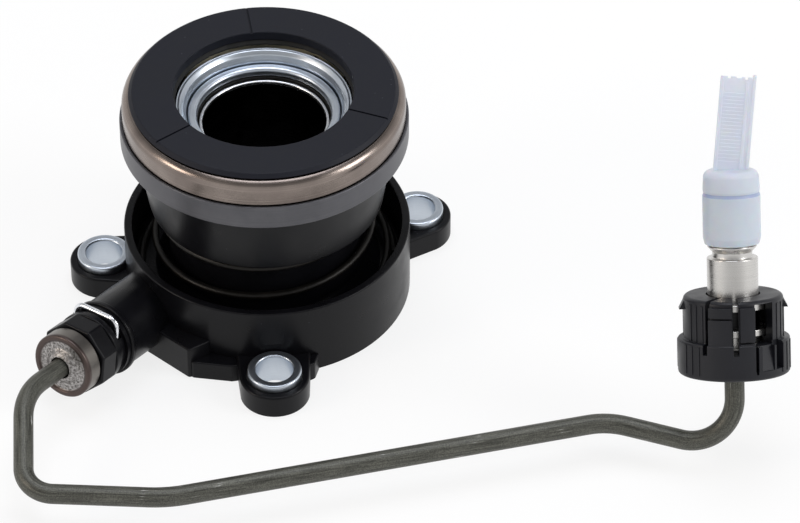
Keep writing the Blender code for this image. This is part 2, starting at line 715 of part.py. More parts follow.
def build_fixed_rings(shop, root, finishes):
    """Bushings, guide sleeve and the two static seals."""
    section = [
        (BUSHING_RADIUS - BUSHING_CHAMFER, BUSHING_HEIGHT),
        (BUSHING_RADIUS, BUSHING_HEIGHT - BUSHING_CHAMFER),
        (BUSHING_RADIUS, 0.0),
        (BOLT_HOLE_RADIUS, 0.0),
        (BOLT_HOLE_RADIUS, BUSHING_HEIGHT - BUSHING_CHAMFER),
        (BOLT_HOLE_RADIUS + BUSHING_CHAMFER, BUSHING_HEIGHT),
    ]
    mesh = profile_mesh("bushing", section)
    for name, angle, reach in EARS:
        place = (*polar(HOUSING_RADIUS + reach, angle), 0.0)
        spin(shop.piece("bushing_" + name, mesh, root, finishes["zinc"], place), SMALL_STEPS)

    lip = 0.5 * SLEEVE_WALL
    sleeve = [
        (SLEEVE_RADIUS - lip, SLEEVE_TOP_Z),
        (SLEEVE_RADIUS, SLEEVE_TOP_Z - lip),
        (SLEEVE_RADIUS, GAP + SLEEVE_FLANGE_THICKNESS),
        (SLEEVE_RADIUS + SLEEVE_FLANGE_WIDTH, GAP + SLEEVE_FLANGE_THICKNESS),
        (SLEEVE_RADIUS + SLEEVE_FLANGE_WIDTH, GAP),
        (BORE_RADIUS, GAP),
        (BORE_RADIUS, SLEEVE_TOP_Z - lip),
        (BORE_RADIUS + 0.25 * SLEEVE_WALL, SLEEVE_TOP_Z),
    ]
    spin(shop.piece("guide_sleeve", profile_mesh("guide_sleeve", sleeve), root, finishes["sleeve"]))

    section = 0.25 * CHAMBER_FLOOR_THICKNESS - 0.5 * GAP
    z = SLEEVE_RECESS_Z + 0.5 * CHAMBER_FLOOR_THICKNESS
    ring = seal_profile(SLEEVE_RADIUS + GAP + section, section, z)
    spin(shop.piece("sleeve_o_ring", profile_mesh("sleeve_o_ring", ring), root, finishes["rubber"]), SEAL_STEPS)

    section = 0.5 * BASE_SEAL_THICKNESS
    ring = seal_profile(BASE_SEAL_RADIUS, section, section + GAP)
    spin(shop.piece("base_seal", profile_mesh("base_seal", ring), root, finishes["rubber"]))


def build_piston(shop, slide, finishes):
    """Annular piston and the U-shaped lip seal under it."""
    head = CYLINDER_BORE - SLIDING_GAP
    neck_top = PISTON_SHOULDER_Z + CARRIER_WEB + RETAINER_HEIGHT
    neck_bottom = CARRIER_TOP_Z + 0.5 * INNER_RACE_WALL
    piston = [
        (PISTON_NECK_RADIUS, neck_top),
        (PISTON_NECK_RADIUS, neck_bottom),
        (PISTON_TUBE_RADIUS, neck_bottom),
        (PISTON_TUBE_RADIUS, PISTON_SHOULDER_Z),
        (head, PISTON_SHOULDER_Z),
        (head, PISTON_BOTTOM_Z),
        (PISTON_BORE, PISTON_BOTTOM_Z),
        (PISTON_BORE, neck_top),
    ]
    spin(shop.piece("piston", profile_mesh("piston", piston), slide, finishes["polymer"]))

    inner = SLEEVE_RADIUS + GAP
    outer = CYLINDER_BORE - GAP
    middle = 0.5 * (inner + outer)
    top = SEAL_BOTTOM_Z + PISTON_SEAL_HEIGHT
    seal = [
        (outer, top),
        (outer, SEAL_BOTTOM_Z + 0.4 * PISTON_SEAL_LIP),
        (outer - PISTON_SEAL_LIP, SEAL_BOTTOM_Z),
        (middle, SEAL_BOTTOM_Z + 0.6 * PISTON_SEAL_HEIGHT),
        (inner + PISTON_SEAL_LIP, SEAL_BOTTOM_Z),
        (inner, SEAL_BOTTOM_Z + 0.4 * PISTON_SEAL_LIP),
        (inner, top),
    ]
    spin(shop.piece("piston_seal", profile_mesh("piston_seal", seal), slide, finishes["rubber"]))

    retainer_bottom = neck_bottom + GAP
    crown_bottom = neck_top + GAP
    crown_top = crown_bottom + RETAINER_CROWN
    rounding = RETAINER_CROWN_ROUNDING
    retainer = [
        (RETAINER_RADIUS - 0.3 * RETAINER_WALL, crown_top),
        (RETAINER_RADIUS, crown_top - 0.3 * RETAINER_WALL),
        (RETAINER_RADIUS, retainer_bottom),
        (RETAINER_BORE, retainer_bottom),
        (RETAINER_BORE, crown_bottom),
        (PISTON_BORE, crown_bottom),
        *arc((PISTON_BORE + rounding, crown_top - rounding), rounding, 180.0, 90.0, 4),
    ]
    spin(shop.piece("bearing_retainer", profile_mesh("bearing_retainer", retainer), slide, finishes["zinc"]))


def build_carrier(shop, slide, finishes):
    """Black cup between spring and bearing, and the centring washer on it."""
    foot_z = WEB_BOTTOM_Z + CARRIER_WEB - CARRIER_SKIRT_HEIGHT + COVER_RUNNING_GAP
    carrier = [
        (CARRIER_RIM_RADIUS - CARRIER_WALL, CARRIER_TOP_Z),
        (CARRIER_RIM_RADIUS, CARRIER_TOP_Z - 0.4 * CARRIER_WALL),
        (CARRIER_FOOT_RADIUS, foot_z + 0.4 * CARRIER_WALL),
        (CARRIER_FOOT_RADIUS - 0.4 * CARRIER_WALL, foot_z),
        (CARRIER_FOOT_RADIUS - CARRIER_WALL, foot_z),
        (CARRIER_RIM_RADIUS - 1.4 * CARRIER_WALL, WEB_BOTTOM_Z),
        (HUB_BORE, WEB_BOTTOM_Z),
        (HUB_BORE, CARRIER_SEAT_Z),
        (CARRIER_SEAT_RADIUS, CARRIER_SEAT_Z),
        (CARRIER_SEAT_RADIUS, CARRIER_TOP_Z),
    ]
    spin(shop.piece("carrier", profile_mesh("carrier", carrier), slide, finishes["nylon"]), LARGE_STEPS)

    washer = [
        (INNER_RACE_SEAT_RADIUS, WASHER_Z + WASHER_THICKNESS),
        (INNER_RACE_SEAT_RADIUS, WASHER_Z),
        (INNER_RACE_BORE, WASHER_Z),
        (INNER_RACE_BORE, WASHER_Z + WASHER_THICKNESS),
    ]
    spin(shop.piece("centring_washer", profile_mesh("centring_washer", washer), slide, finishes["spring"]))


def build_spring(shop, root, finishes):
    """Conical preload spring: wide foot coil, straight coils inside the carrier's skirt."""
    low = SPRING_SEAT_Z + GAP + SPRING_WIRE_RADIUS
    high = WEB_BOTTOM_Z - GAP - SPRING_WIRE_RADIUS
    active = SPRING_TURNS - 2.0 * SPRING_END_TURNS
    points = []
    for i in range(int(SPRING_TURNS * SPRING_POINTS_PER_TURN) + 1):
        turns = i / SPRING_POINTS_PER_TURN
        share = min(max((turns - SPRING_END_TURNS) / active, 0.0), 1.0)
        z = low + (high - low) * share
        taper = min((z - low) / SPRING_TAPER_HEIGHT, 1.0)
        radius = SPRING_FOOT_RADIUS + (SPRING_TOP_RADIUS - SPRING_FOOT_RADIUS) * taper
        points.append((radius * math.cos(TURN * turns), radius * math.sin(TURN * turns), z))
    mesh = curve_mesh("preload_spring", wire_curve("preload_spring", points, SPRING_WIRE_RADIUS, 1))
    shop.piece("preload_spring", mesh, root, finishes["spring"])


def build_races(shop, slide, spinner, finishes):
    """Inner and outer race, with raceways round the balls."""
    ball = (BALL_PITCH_RADIUS, BALL_Z)
    bore = INNER_RACE_BORE
    wall = bore + INNER_RACE_WALL
    lip_bottom = INNER_RACE_LIP_Z - INNER_RACE_LIP_HEIGHT
    inner = [
        (INNER_RACE_LIP_RADIUS - INNER_RACE_LIP_CHAMFER, INNER_RACE_LIP_Z),
        (INNER_RACE_LIP_RADIUS, INNER_RACE_LIP_Z - INNER_RACE_LIP_CHAMFER),
        (INNER_RACE_LIP_RADIUS, lip_bottom),
        (wall, lip_bottom - INNER_RACE_FUNNEL_HEIGHT),
    ]
    inner += arc(ball, RACEWAY_RADIUS, 180.0, 270.0, 4)
    inner += [
        (INNER_RACE_SEAT_RADIUS, BALL_Z - RACEWAY_RADIUS),
        (INNER_RACE_SEAT_RADIUS, INNER_RACE_BOTTOM_Z),
        (bore, INNER_RACE_BOTTOM_Z),
    ]
    inner += [(bore + flare, INNER_RACE_LIP_Z - depth) for flare, depth in INNER_RACE_MOUTH]
    spin(shop.piece("inner_race", profile_mesh("inner_race", inner), slide, finishes["zinc"]), LARGE_STEPS)

    shoulder = OUTER_RACE_SHOULDER
    flange_z = RACE_TOP_Z - OUTER_RACE_FLANGE
    seat = COVER_TOP_Z + GAP
    skirt = OUTER_RACE_RADIUS - GAP
    raceway = arc(ball, RACEWAY_RADIUS, 0.0, 60.0, 4)
    outer = [
        (CONTACT_RING_BASE_RADIUS - GAP, RACE_TOP_Z),
        (CONTACT_RING_BASE_RADIUS + 0.3 * shoulder, RACE_TOP_Z - 0.3 * shoulder),
        (OUTER_RACE_RADIUS - 0.2 * shoulder, RACE_TOP_Z - shoulder),
        (OUTER_RACE_RADIUS, RACE_TOP_Z - 2.0 * shoulder),
        (OUTER_RACE_RADIUS, seat),
        (skirt, seat),
        (skirt, RACE_BOTTOM_Z),
        (raceway[0][0] + 2.0 * GAP, RACE_BOTTOM_Z),
        (raceway[0][0], RACE_BOTTOM_Z + 2.0 * GAP),
    ]
    outer += raceway
    outer += [
        (BALL_PITCH_RADIUS + 0.25 * BALL_RADIUS, flange_z),
        (RACE_FLANGE_BORE, flange_z),
        (RACE_FLANGE_BORE, RACE_TOP_Z),
    ]
    spin(shop.piece("outer_race", profile_mesh("outer_race", outer), spinner, finishes["race"]), LARGE_STEPS)


def build_spinning_trim(shop, spinner, finishes):
    """Contact ring, lip seal and sheet cover that turn with the outer race."""
    base_z = FACE_Z - CONTACT_RING_THICKNESS
    hub = CONTACT_RING_INNER_RADIUS + CONTACT_HUB_THICKNESS
    ring = [
        (CONTACT_RING_TOP_RADIUS, FACE_Z),
        (CONTACT_RING_BASE_RADIUS, base_z),
        (hub, base_z),
        (hub, base_z - CONTACT_HUB_DEPTH),
        (CONTACT_RING_INNER_RADIUS, base_z - CONTACT_HUB_DEPTH),
        (CONTACT_RING_INNER_RADIUS, FACE_Z),
    ]
    contact = spin(
        shop.piece("contact_ring", profile_mesh("contact_ring", ring), spinner, finishes["contact"]), LARGE_STEPS,
    )
    groove = box_mesh(
        "contact groove",
        (CONTACT_RING_INNER_RADIUS - GAP, -0.5 * CONTACT_GROOVE_WIDTH, FACE_Z - CONTACT_GROOVE_DEPTH),
        (CONTACT_RING_BASE_RADIUS + GAP, 0.5 * CONTACT_GROOVE_WIDTH, FACE_Z + CONTACT_RING_THICKNESS),
    )
    for i in range(CONTACT_GROOVE_COUNT):
        angle = math.radians(CONTACT_GROOVE_START) + TURN * i / CONTACT_GROOVE_COUNT
        cut(contact, shop.tool("contact groove %d" % (i + 1), groove, spinner, angle=angle))

    seal_top = base_z - CONTACT_HUB_DEPTH - GAP
    lip = INNER_RACE_LIP_RADIUS + GAP
    seal = [
        (RACE_FLANGE_BORE - GAP, seal_top),
        (RACE_FLANGE_BORE - GAP, seal_top - SEAL_HEIGHT),
        (lip + GAP, seal_top - SEAL_HEIGHT),
        (lip, seal_top - 0.8 * SEAL_HEIGHT),
        (lip, seal_top - 0.5 * SEAL_HEIGHT),
        (lip + 2.0 * GAP, seal_top),
    ]
    spin(shop.piece("bearing_seal", profile_mesh("bearing_seal", seal), spinner, finishes["rubber"]))

    cover_inner = COVER_RADIUS - COVER_SHEET
    cover = [
        (COVER_RADIUS - 0.3 * COVER_SHEET, COVER_TOP_Z),
        (COVER_RADIUS, COVER_TOP_Z - 0.3 * COVER_SHEET),
        (COVER_RADIUS, COVER_BOTTOM_Z + 0.5 * COVER_SHEET),
        (COVER_RADIUS - 0.5 * COVER_SHEET, COVER_BOTTOM_Z),
        (COVER_LIP_RADIUS, COVER_BOTTOM_Z),
        (COVER_LIP_RADIUS, COVER_BOTTOM_Z + COVER_SHEET),
        (cover_inner, COVER_BOTTOM_Z + COVER_SHEET),
        (cover_inner, COVER_TOP_Z),
    ]
    spin(shop.piece("bearing_cover", profile_mesh("bearing_cover", cover), spinner, finishes["cover"]), LARGE_STEPS)


def build_balls(shop, orbit, finishes):
    """Crown cage and its balls."""
    ring_z = BALL_Z + BALL_RADIUS + GAP
    inner = BALL_PITCH_RADIUS - CAGE_THICKNESS
    section = [
        (BALL_PITCH_RADIUS, ring_z + CAGE_RING_HEIGHT),
        (BALL_PITCH_RADIUS, BALL_Z - CAGE_FINGER_DEPTH),
        (inner, BALL_Z - CAGE_FINGER_DEPTH),
        (inner, ring_z + CAGE_RING_HEIGHT),
    ]
    cage = spin(shop.piece("ball_cage", profile_mesh("ball_cage", section), orbit, finishes["cage"]), 2 * BALL_COUNT)
    pockets = bpy.data.meshes.new("cage pockets")
    form = bmesh.new()
    for i in range(BALL_COUNT):
        place = Matrix.Rotation(TURN * i / BALL_COUNT, 4, "Z")
        place = place @ Matrix.Translation((BALL_PITCH_RADIUS, 0.0, BALL_Z))
        place = place @ Matrix.Rotation(0.5 * math.pi, 4, "Y")
        bmesh.ops.create_cone(
            form, cap_ends=True, segments=POCKET_SIDES, radius1=RACEWAY_RADIUS, radius2=RACEWAY_RADIUS,
            depth=4.0 * CAGE_THICKNESS, matrix=place,
        )
    form.to_mesh(pockets)
    form.free()
    cut(cage, shop.tool("cage pockets", pockets, orbit))

    mesh = bpy.data.meshes.new("ball")
    form = bmesh.new()
    bmesh.ops.create_uvsphere(form, u_segments=BALL_SEGMENTS, v_segments=BALL_RINGS, radius=BALL_RADIUS)
    form.to_mesh(mesh)
    form.free()
    for i in range(BALL_COUNT):
        angle = 360.0 * i / BALL_COUNT
        place = (*polar(BALL_PITCH_RADIUS, angle), BALL_Z)
        shop.piece("ball_%02d" % (i + 1), mesh, orbit, finishes["ball"], place, math.radians(angle))


def build_port(shop, port, clip_frame, finishes):
    """Ferrule, plug-in connector with its seal, and the wire clip, all along the port axis."""
    hole = PIPE_RADIUS + GAP
    rim = FERRULE_RADIUS - FERRULE_RIM
    ferrule = [
        (rim, 0.0),
        (FERRULE_RADIUS - 0.3 * FERRULE_RIM, -0.4 * FERRULE_RIM),
        (FERRULE_RADIUS, -FERRULE_RIM),
        (FERRULE_RADIUS, -FERRULE_LENGTH),
        (hole, -FERRULE_LENGTH),
        (hole, BRAZE_HEIGHT),
        (0.5 * (hole + BRAZE_RADIUS), 0.4 * BRAZE_HEIGHT),
        (BRAZE_RADIUS, -FERRULE_RECESS),
        (rim - FERRULE_RECESS, -FERRULE_RECESS),
    ]
    spin(shop.piece("pipe_ferrule", profile_mesh("pipe_ferrule", ferrule), port, finishes["ferrule"]), SMALL_STEPS)

    flange_top = -FERRULE_LENGTH - GAP
    flange_bottom = flange_top - CONNECTOR_FLANGE_LENGTH
    spigot_end = -BOSS_FACE_DEPTH - SPIGOT_LENGTH + 2.0 * GAP
    clip_z = -BOSS_FACE_DEPTH - CLIP_DEPTH
    notch = CLIP_WIRE_RADIUS + GAP
    notch_radius = CLIP_HALF_WIDTH - CLIP_WIRE_RADIUS - GAP
    seal_z = -BOSS_FACE_DEPTH - CONNECTOR_SEAL_DEPTH
    seal_half = CONNECTOR_SEAL_RADIUS + GAP
    seal_floor = SPIGOT_RADIUS - 2.0 * CONNECTOR_SEAL_RADIUS - 2.0 * GAP
    socket_floor = flange_bottom - GAP - PIPE_ENGAGEMENT - GAP
    spigot = [
        (SPIGOT_RADIUS, flange_top - GAP),
        (SPIGOT_RADIUS, clip_z + notch),
        (notch_radius, clip_z + notch),
        (notch_radius, clip_z - notch),
        (SPIGOT_RADIUS, clip_z - notch),
        (SPIGOT_RADIUS, seal_z + seal_half),
        (seal_floor, seal_z + seal_half),
        (seal_floor, seal_z - seal_half),
        (SPIGOT_RADIUS, seal_z - seal_half),
        (SPIGOT_RADIUS, spigot_end + GAP),
        (SPIGOT_RADIUS - 2.0 * GAP, spigot_end),
        (SPIGOT_BORE_RADIUS, spigot_end),
        (SPIGOT_BORE_RADIUS, socket_floor),
        (hole, socket_floor),
        (hole, flange_top - GAP),
    ]
    connector = spin(
        shop.piece("port_connector", profile_mesh("port_connector", spigot), port, finishes["nylon"]), SMALL_STEPS,
    )
    flange = rod_mesh(
        "connector flange", CONNECTOR_FLANGE_RADIUS, flange_bottom, flange_top, CONNECTOR_FLANGE_SIDES,
    )
    half_side = math.pi / CONNECTOR_FLANGE_SIDES
    join(connector, shop.tool("connector flange", flange, port, angle=half_side))
    bore = rod_mesh("connector bore", hole, socket_floor, flange_top + CUT_MARGIN)
    cut(connector, shop.tool("connector bore", bore, port))

    ring = seal_profile(seal_floor + GAP + CONNECTOR_SEAL_RADIUS, CONNECTOR_SEAL_RADIUS, seal_z)
    spin(shop.piece("connector_o_ring", profile_mesh("connector_o_ring", ring), port, finishes["rubber"]), SMALL_STEPS)

    bow = CLIP_GROOVE_RADIUS + GAP + CLIP_WIRE_RADIUS
    corners = [
        (-CLIP_HALF_WIDTH, -CLIP_LEG_DEPTH, 0.0),
        (-CLIP_HALF_WIDTH, bow, 0.0),
        (CLIP_HALF_WIDTH, bow, 0.0),
        (CLIP_HALF_WIDTH, -CLIP_LEG_DEPTH, 0.0),
    ]
    route = bent_route(corners, [CLIP_CORNER_RADIUS] * 2, math.radians(30.0))
    mesh = curve_mesh("port_clip", wire_curve("port_clip", route, CLIP_WIRE_RADIUS))
    shop.piece("port_clip", mesh, clip_frame, finishes["bright"])


def build_pipe(shop, root, port, fitting, finishes):
    """Rigid pressure pipe: a hollow tube bent along its route."""
    bpy.context.view_layer.update()
    to_root = root.matrix_world.inverted()
    port_place = to_root @ port.matrix_world
    fitting_place = to_root @ fitting.matrix_world
    inner_end = -FERRULE_LENGTH - CONNECTOR_FLANGE_LENGTH - 2.0 * GAP - PIPE_ENGAGEMENT
    corners = [
        port_place @ Vector((0.0, 0.0, inner_end)),
        port_place @ Vector((0.0, 0.0, PIPE_PORT_STRAIGHT)),
        *[Vector(corner) for corner, radius in PIPE_MIDDLE_CORNERS],
        fitting_place @ Vector((0.0, 0.0, -PIPE_FITTING_STRAIGHT)),
        fitting_place @ Vector((0.0, 0.0, PIPE_ENGAGEMENT)),
    ]
    radii = [PIPE_PORT_BEND, *[radius for corner, radius in PIPE_MIDDLE_CORNERS], PIPE_FITTING_BEND]
    route = bent_route(corners, radii, PIPE_BEND_STEP)
    mesh = curve_mesh("hydraulic_pipe", wire_curve("hydraulic_pipe", route, PIPE_RADIUS, caps=False))
    pipe = shop.piece("hydraulic_pipe", mesh, root, finishes["pipe"])
    wall = pipe.modifiers.new("Wall", "SOLIDIFY")
    wall.thickness = PIPE_WALL
    wall.offset = -1.0


def build_fitting(shop, fitting, finishes):
    """Turned steel end of the pipe, and the seal on its tip."""
    hole = PIPE_RADIUS + GAP
    body_bottom = LOWER_FLANGE_Z - FITTING_BODY_LENGTH
    neck_low = BARREL_TOP
    land_low = neck_low + FITTING_NECK_LENGTH
    land_high = land_low + FITTING_LAND_LENGTH
    seal_floor = FITTING_TIP_RADIUS - 2.0 * FITTING_SEAL_RADIUS - GAP
    seal_half = FITTING_SEAL_RADIUS + GAP
    outline = [
        (FITTING_TIP_RADIUS - FITTING_TIP_CHAMFER, FITTING_TIP_TOP),
        (FITTING_TIP_RADIUS, FITTING_TIP_TOP - FITTING_TIP_CHAMFER),
        (FITTING_TIP_RADIUS, FITTING_SEAL_Z + seal_half),
        (seal_floor, FITTING_SEAL_Z + seal_half),
        (seal_floor, FITTING_SEAL_Z - seal_half),
        (FITTING_TIP_RADIUS, FITTING_SEAL_Z - seal_half),
        (FITTING_TIP_RADIUS, land_high),
        (FITTING_LAND_RADIUS, land_high),
        (FITTING_LAND_RADIUS, land_high - FITTING_LAND_EDGE),
        (FITTING_NECK_RADIUS, land_low),
        (FITTING_NECK_RADIUS, neck_low),
        (BARREL_RADIUS - BARREL_CHAMFER, neck_low),
        (BARREL_RADIUS, neck_low - BARREL_CHAMFER),
        (BARREL_RADIUS, UPPER_FLANGE_Z + FITTING_FLANGE_THICKNESS),
        (UPPER_FLANGE_RADIUS, UPPER_FLANGE_Z + FITTING_FLANGE_THICKNESS),
        (UPPER_FLANGE_RADIUS, UPPER_FLANGE_Z),
        (BARREL_RADIUS, UPPER_FLANGE_Z),
        (BARREL_RADIUS, LOWER_FLANGE_Z + FITTING_FLANGE_THICKNESS),
        (LOWER_FLANGE_RADIUS, LOWER_FLANGE_Z + FITTING_FLANGE_THICKNESS),
        (LOWER_FLANGE_RADIUS, LOWER_FLANGE_Z),
        (FITTING_BODY_RADIUS, LOWER_FLANGE_Z),
        (FITTING_BODY_RADIUS, body_bottom),
        (FITTING_ROOT_RADIUS, body_bottom - 0.5 * FITTING_BODY_LENGTH),
        (FITTING_ROOT_RADIUS, GAP),
        (hole, GAP),
        (hole, PIPE_ENGAGEMENT + GAP),
        (SPIGOT_BORE_RADIUS, PIPE_ENGAGEMENT + GAP),
        (SPIGOT_BORE_RADIUS, FITTING_TIP_TOP),
    ]
    spin(shop.piece("pipe_fitting", profile_mesh("pipe_fitting", outline), fitting, finishes["fitting"]), SMALL_STEPS)
    ring = seal_profile(seal_floor + GAP + FITTING_SEAL_RADIUS, FITTING_SEAL_RADIUS, FITTING_SEAL_Z)
    spin(shop.piece("fitting_o_ring", profile_mesh("fitting_o_ring", ring), fitting, finishes["rubber"]), SMALL_STEPS)


def build_collar(shop, fitting, finishes):
    """Black latch collar with slots, windows, ramps and barbs; front is local -Y."""
    chamfer = COLLAR_CHAMFER
    cavity = COLLAR_RADIUS - COLLAR_WALL
    ledge = LOWER_FLANGE_Z - GAP
    lip_z = COLLAR_HEIGHT - COLLAR_TOP_LIP
    step_z = COLLAR_BAND_HEIGHT
    throat = FITTING_BODY_RADIUS + SLIDING_GAP
    section = [
        (COLLAR_RADIUS - chamfer, COLLAR_HEIGHT),
        (COLLAR_RADIUS, COLLAR_HEIGHT - chamfer),
        (COLLAR_RADIUS, step_z + 0.3 * chamfer),
        (COLLAR_BAND_RADIUS - 0.3 * chamfer, step_z),
        (COLLAR_BAND_RADIUS, step_z - 0.5 * chamfer),
        (COLLAR_BAND_RADIUS, chamfer),
        (COLLAR_BAND_RADIUS - chamfer, 0.0),
        (throat, 0.0),
        (throat, ledge),
        (cavity, ledge),
        (cavity, lip_z),
        (BARREL_RADIUS + SLIDING_GAP, lip_z),
        (BARREL_RADIUS + SLIDING_GAP, COLLAR_HEIGHT),
    ]
    collar = spin(shop.piece("latch_collar", profile_mesh("latch_collar", section), fitting, finishes["nylon"]))

    reach = COLLAR_BAND_RADIUS + CUT_MARGIN
    start = BARREL_RADIUS - GAP
    over = COLLAR_HEIGHT + CUT_MARGIN
    sill = step_z - COLLAR_WINDOW_SILL
    recess_floor = COLLAR_BAND_RADIUS - COLLAR_RECESS_DEPTH
    slots = (
        ("narrow", NARROW_SLOT_ANGLE, COLLAR_SLOT_WIDTH, start, COLLAR_SLOT_FOOT, over),
        ("wide", WIDE_SLOT_ANGLE, COLLAR_WIDE_SLOT_WIDTH, start, COLLAR_SLOT_FOOT, over),
        ("band", BAND_SLOT_ANGLE, COLLAR_SLOT_WIDTH, start, 0.08 * COLLAR_HEIGHT, 0.9 * step_z),
        ("window", WINDOW_ANGLE, COLLAR_WINDOW_WIDTH, start, sill, sill + COLLAR_WINDOW_HEIGHT),
        ("recess", RECESS_ANGLE, COLLAR_RECESS_WIDTH, recess_floor, COLLAR_RECESS_FOOT, step_z + CUT_MARGIN),
    )
    for side in range(2):
        for name, degrees, width, inner, low, high in slots:
            angle = math.radians(degrees - 90.0 + 180.0 * side)
            mesh = box_mesh("collar " + name, (inner, -0.5 * width, low), (reach, 0.5 * width, high))
            cut(collar, shop.tool("collar %s %d" % (name, side + 1), mesh, fitting, angle=angle))
    barb = [
        (COLLAR_RADIUS - 0.5 * COLLAR_WALL, COLLAR_HEIGHT - chamfer),
        (COLLAR_RADIUS - 0.4 * chamfer, COLLAR_HEIGHT - chamfer),
        (COLLAR_RADIUS + COLLAR_BARB, COLLAR_HEIGHT - 4.0 * chamfer),
        (COLLAR_RADIUS - 0.5 * COLLAR_WALL, COLLAR_HEIGHT - 4.0 * chamfer),
    ]
    ramp = [
        (recess_floor - GAP, COLLAR_RECESS_FOOT - GAP),
        (recess_floor + COLLAR_RAMP_RISE, COLLAR_RECESS_FOOT - GAP),
        (recess_floor + COLLAR_RAMP_RISE, COLLAR_RECESS_FOOT + GAP),
        (recess_floor + 0.2 * COLLAR_RAMP_RISE, sill - GAP),
        (recess_floor - GAP, sill - GAP),
    ]
    for name, outline, width, degrees in (
        ("barb", barb, COLLAR_BARB_WIDTH, 0.0),
        ("ramp", ramp, COLLAR_RAMP_WIDTH, RAMP_ANGLE - 90.0),
    ):
        mesh = plate_mesh("collar " + name, outline, -0.5 * width, 0.5 * width)
        mesh.transform(Matrix.Rotation(0.5 * math.pi, 4, "X"))
        for side in range(2):
            angle = math.radians(degrees) + math.pi * side
            join(collar, shop.tool("collar %s %d" % (name, side + 1), mesh, fitting, angle=angle))


def build_cap(shop, cap_frame, finishes):
    """Translucent cap with its pull strap, one moulding."""
    top = CAP_BOTTOM + CAP_LENGTH
    cap = [
        (0.0, top),
        (CAP_RADIUS - CAP_SHOULDER, top),
        (CAP_RADIUS - 0.35 * CAP_SHOULDER, top - 0.35 * CAP_SHOULDER),
        (CAP_RADIUS, top - 1.4 * CAP_SHOULDER),
        (CAP_RADIUS, CAP_BOTTOM + CAP_WALL),
        (CAP_RADIUS - 0.4 * CAP_WALL, CAP_BOTTOM),
        (CAP_CAVITY_RADIUS, CAP_BOTTOM),
        (CAP_CAVITY_RADIUS, top - CAP_TOP_THICKNESS - CAP_SHOULDER),
        (CAP_CAVITY_RADIUS - CAP_SHOULDER, top - CAP_TOP_THICKNESS),
        (0.0, top - CAP_TOP_THICKNESS),
    ]
    body = spin(
        shop.piece("protective_cap", profile_mesh("protective_cap", cap), cap_frame, finishes["cap"]), SMALL_STEPS,
    )
    half = 0.5 * STRAP_WIDTH
    thick = 0.5 * STRAP_THICKNESS
    sunk = -0.5 * CAP_TOP_THICKNESS
    web = box_mesh("strap", (-half, -thick, sunk), (half, thick, STRAP_LENGTH))
    strap = shop.tool("strap", web, cap_frame, location=(0.0, 0.0, top))
    tools = [strap]
    for side in (-1.0, 1.0):
        middle = side * (half + STRAP_RIB_OVERHANG - 0.5 * STRAP_RIB_WIDTH)
        rib = box_mesh(
            "strap rib",
            (middle - 0.5 * STRAP_RIB_WIDTH, -thick - STRAP_RIB_HEIGHT, 0.8 * sunk),
            (middle + 0.5 * STRAP_RIB_WIDTH, thick + STRAP_RIB_HEIGHT, STRAP_LENGTH - STRAP_RIB_STOP),
        )
        tools.append(shop.tool("strap rib", rib, cap_frame, location=(0.0, 0.0, top)))
    for item in tools:
        item.rotation_euler = (0.0, math.radians(STRAP_LEAN), 0.0)
    join(body, *tools)


def seat_on_origin(shop, root):
    """Shift the whole model so that its box stands centred on the origin."""
    bpy.context.view_layer.update()
    graph = bpy.context.evaluated_depsgraph_get()
    points = []
    for obj in shop.parts.objects:
        if obj.type == "MESH":
            solid = obj.evaluated_get(graph)
            points += [solid.matrix_world @ vertex.co for vertex in solid.data.vertices]
    low = [min(point[i] for point in points) for i in range(2)]
    high = [max(point[i] for point in points) for i in range(2)]
    root.location = (-0.5 * (low[0] + high[0]), -0.5 * (low[1] + high[1]), 0.0)
    bpy.context.view_layer.update()


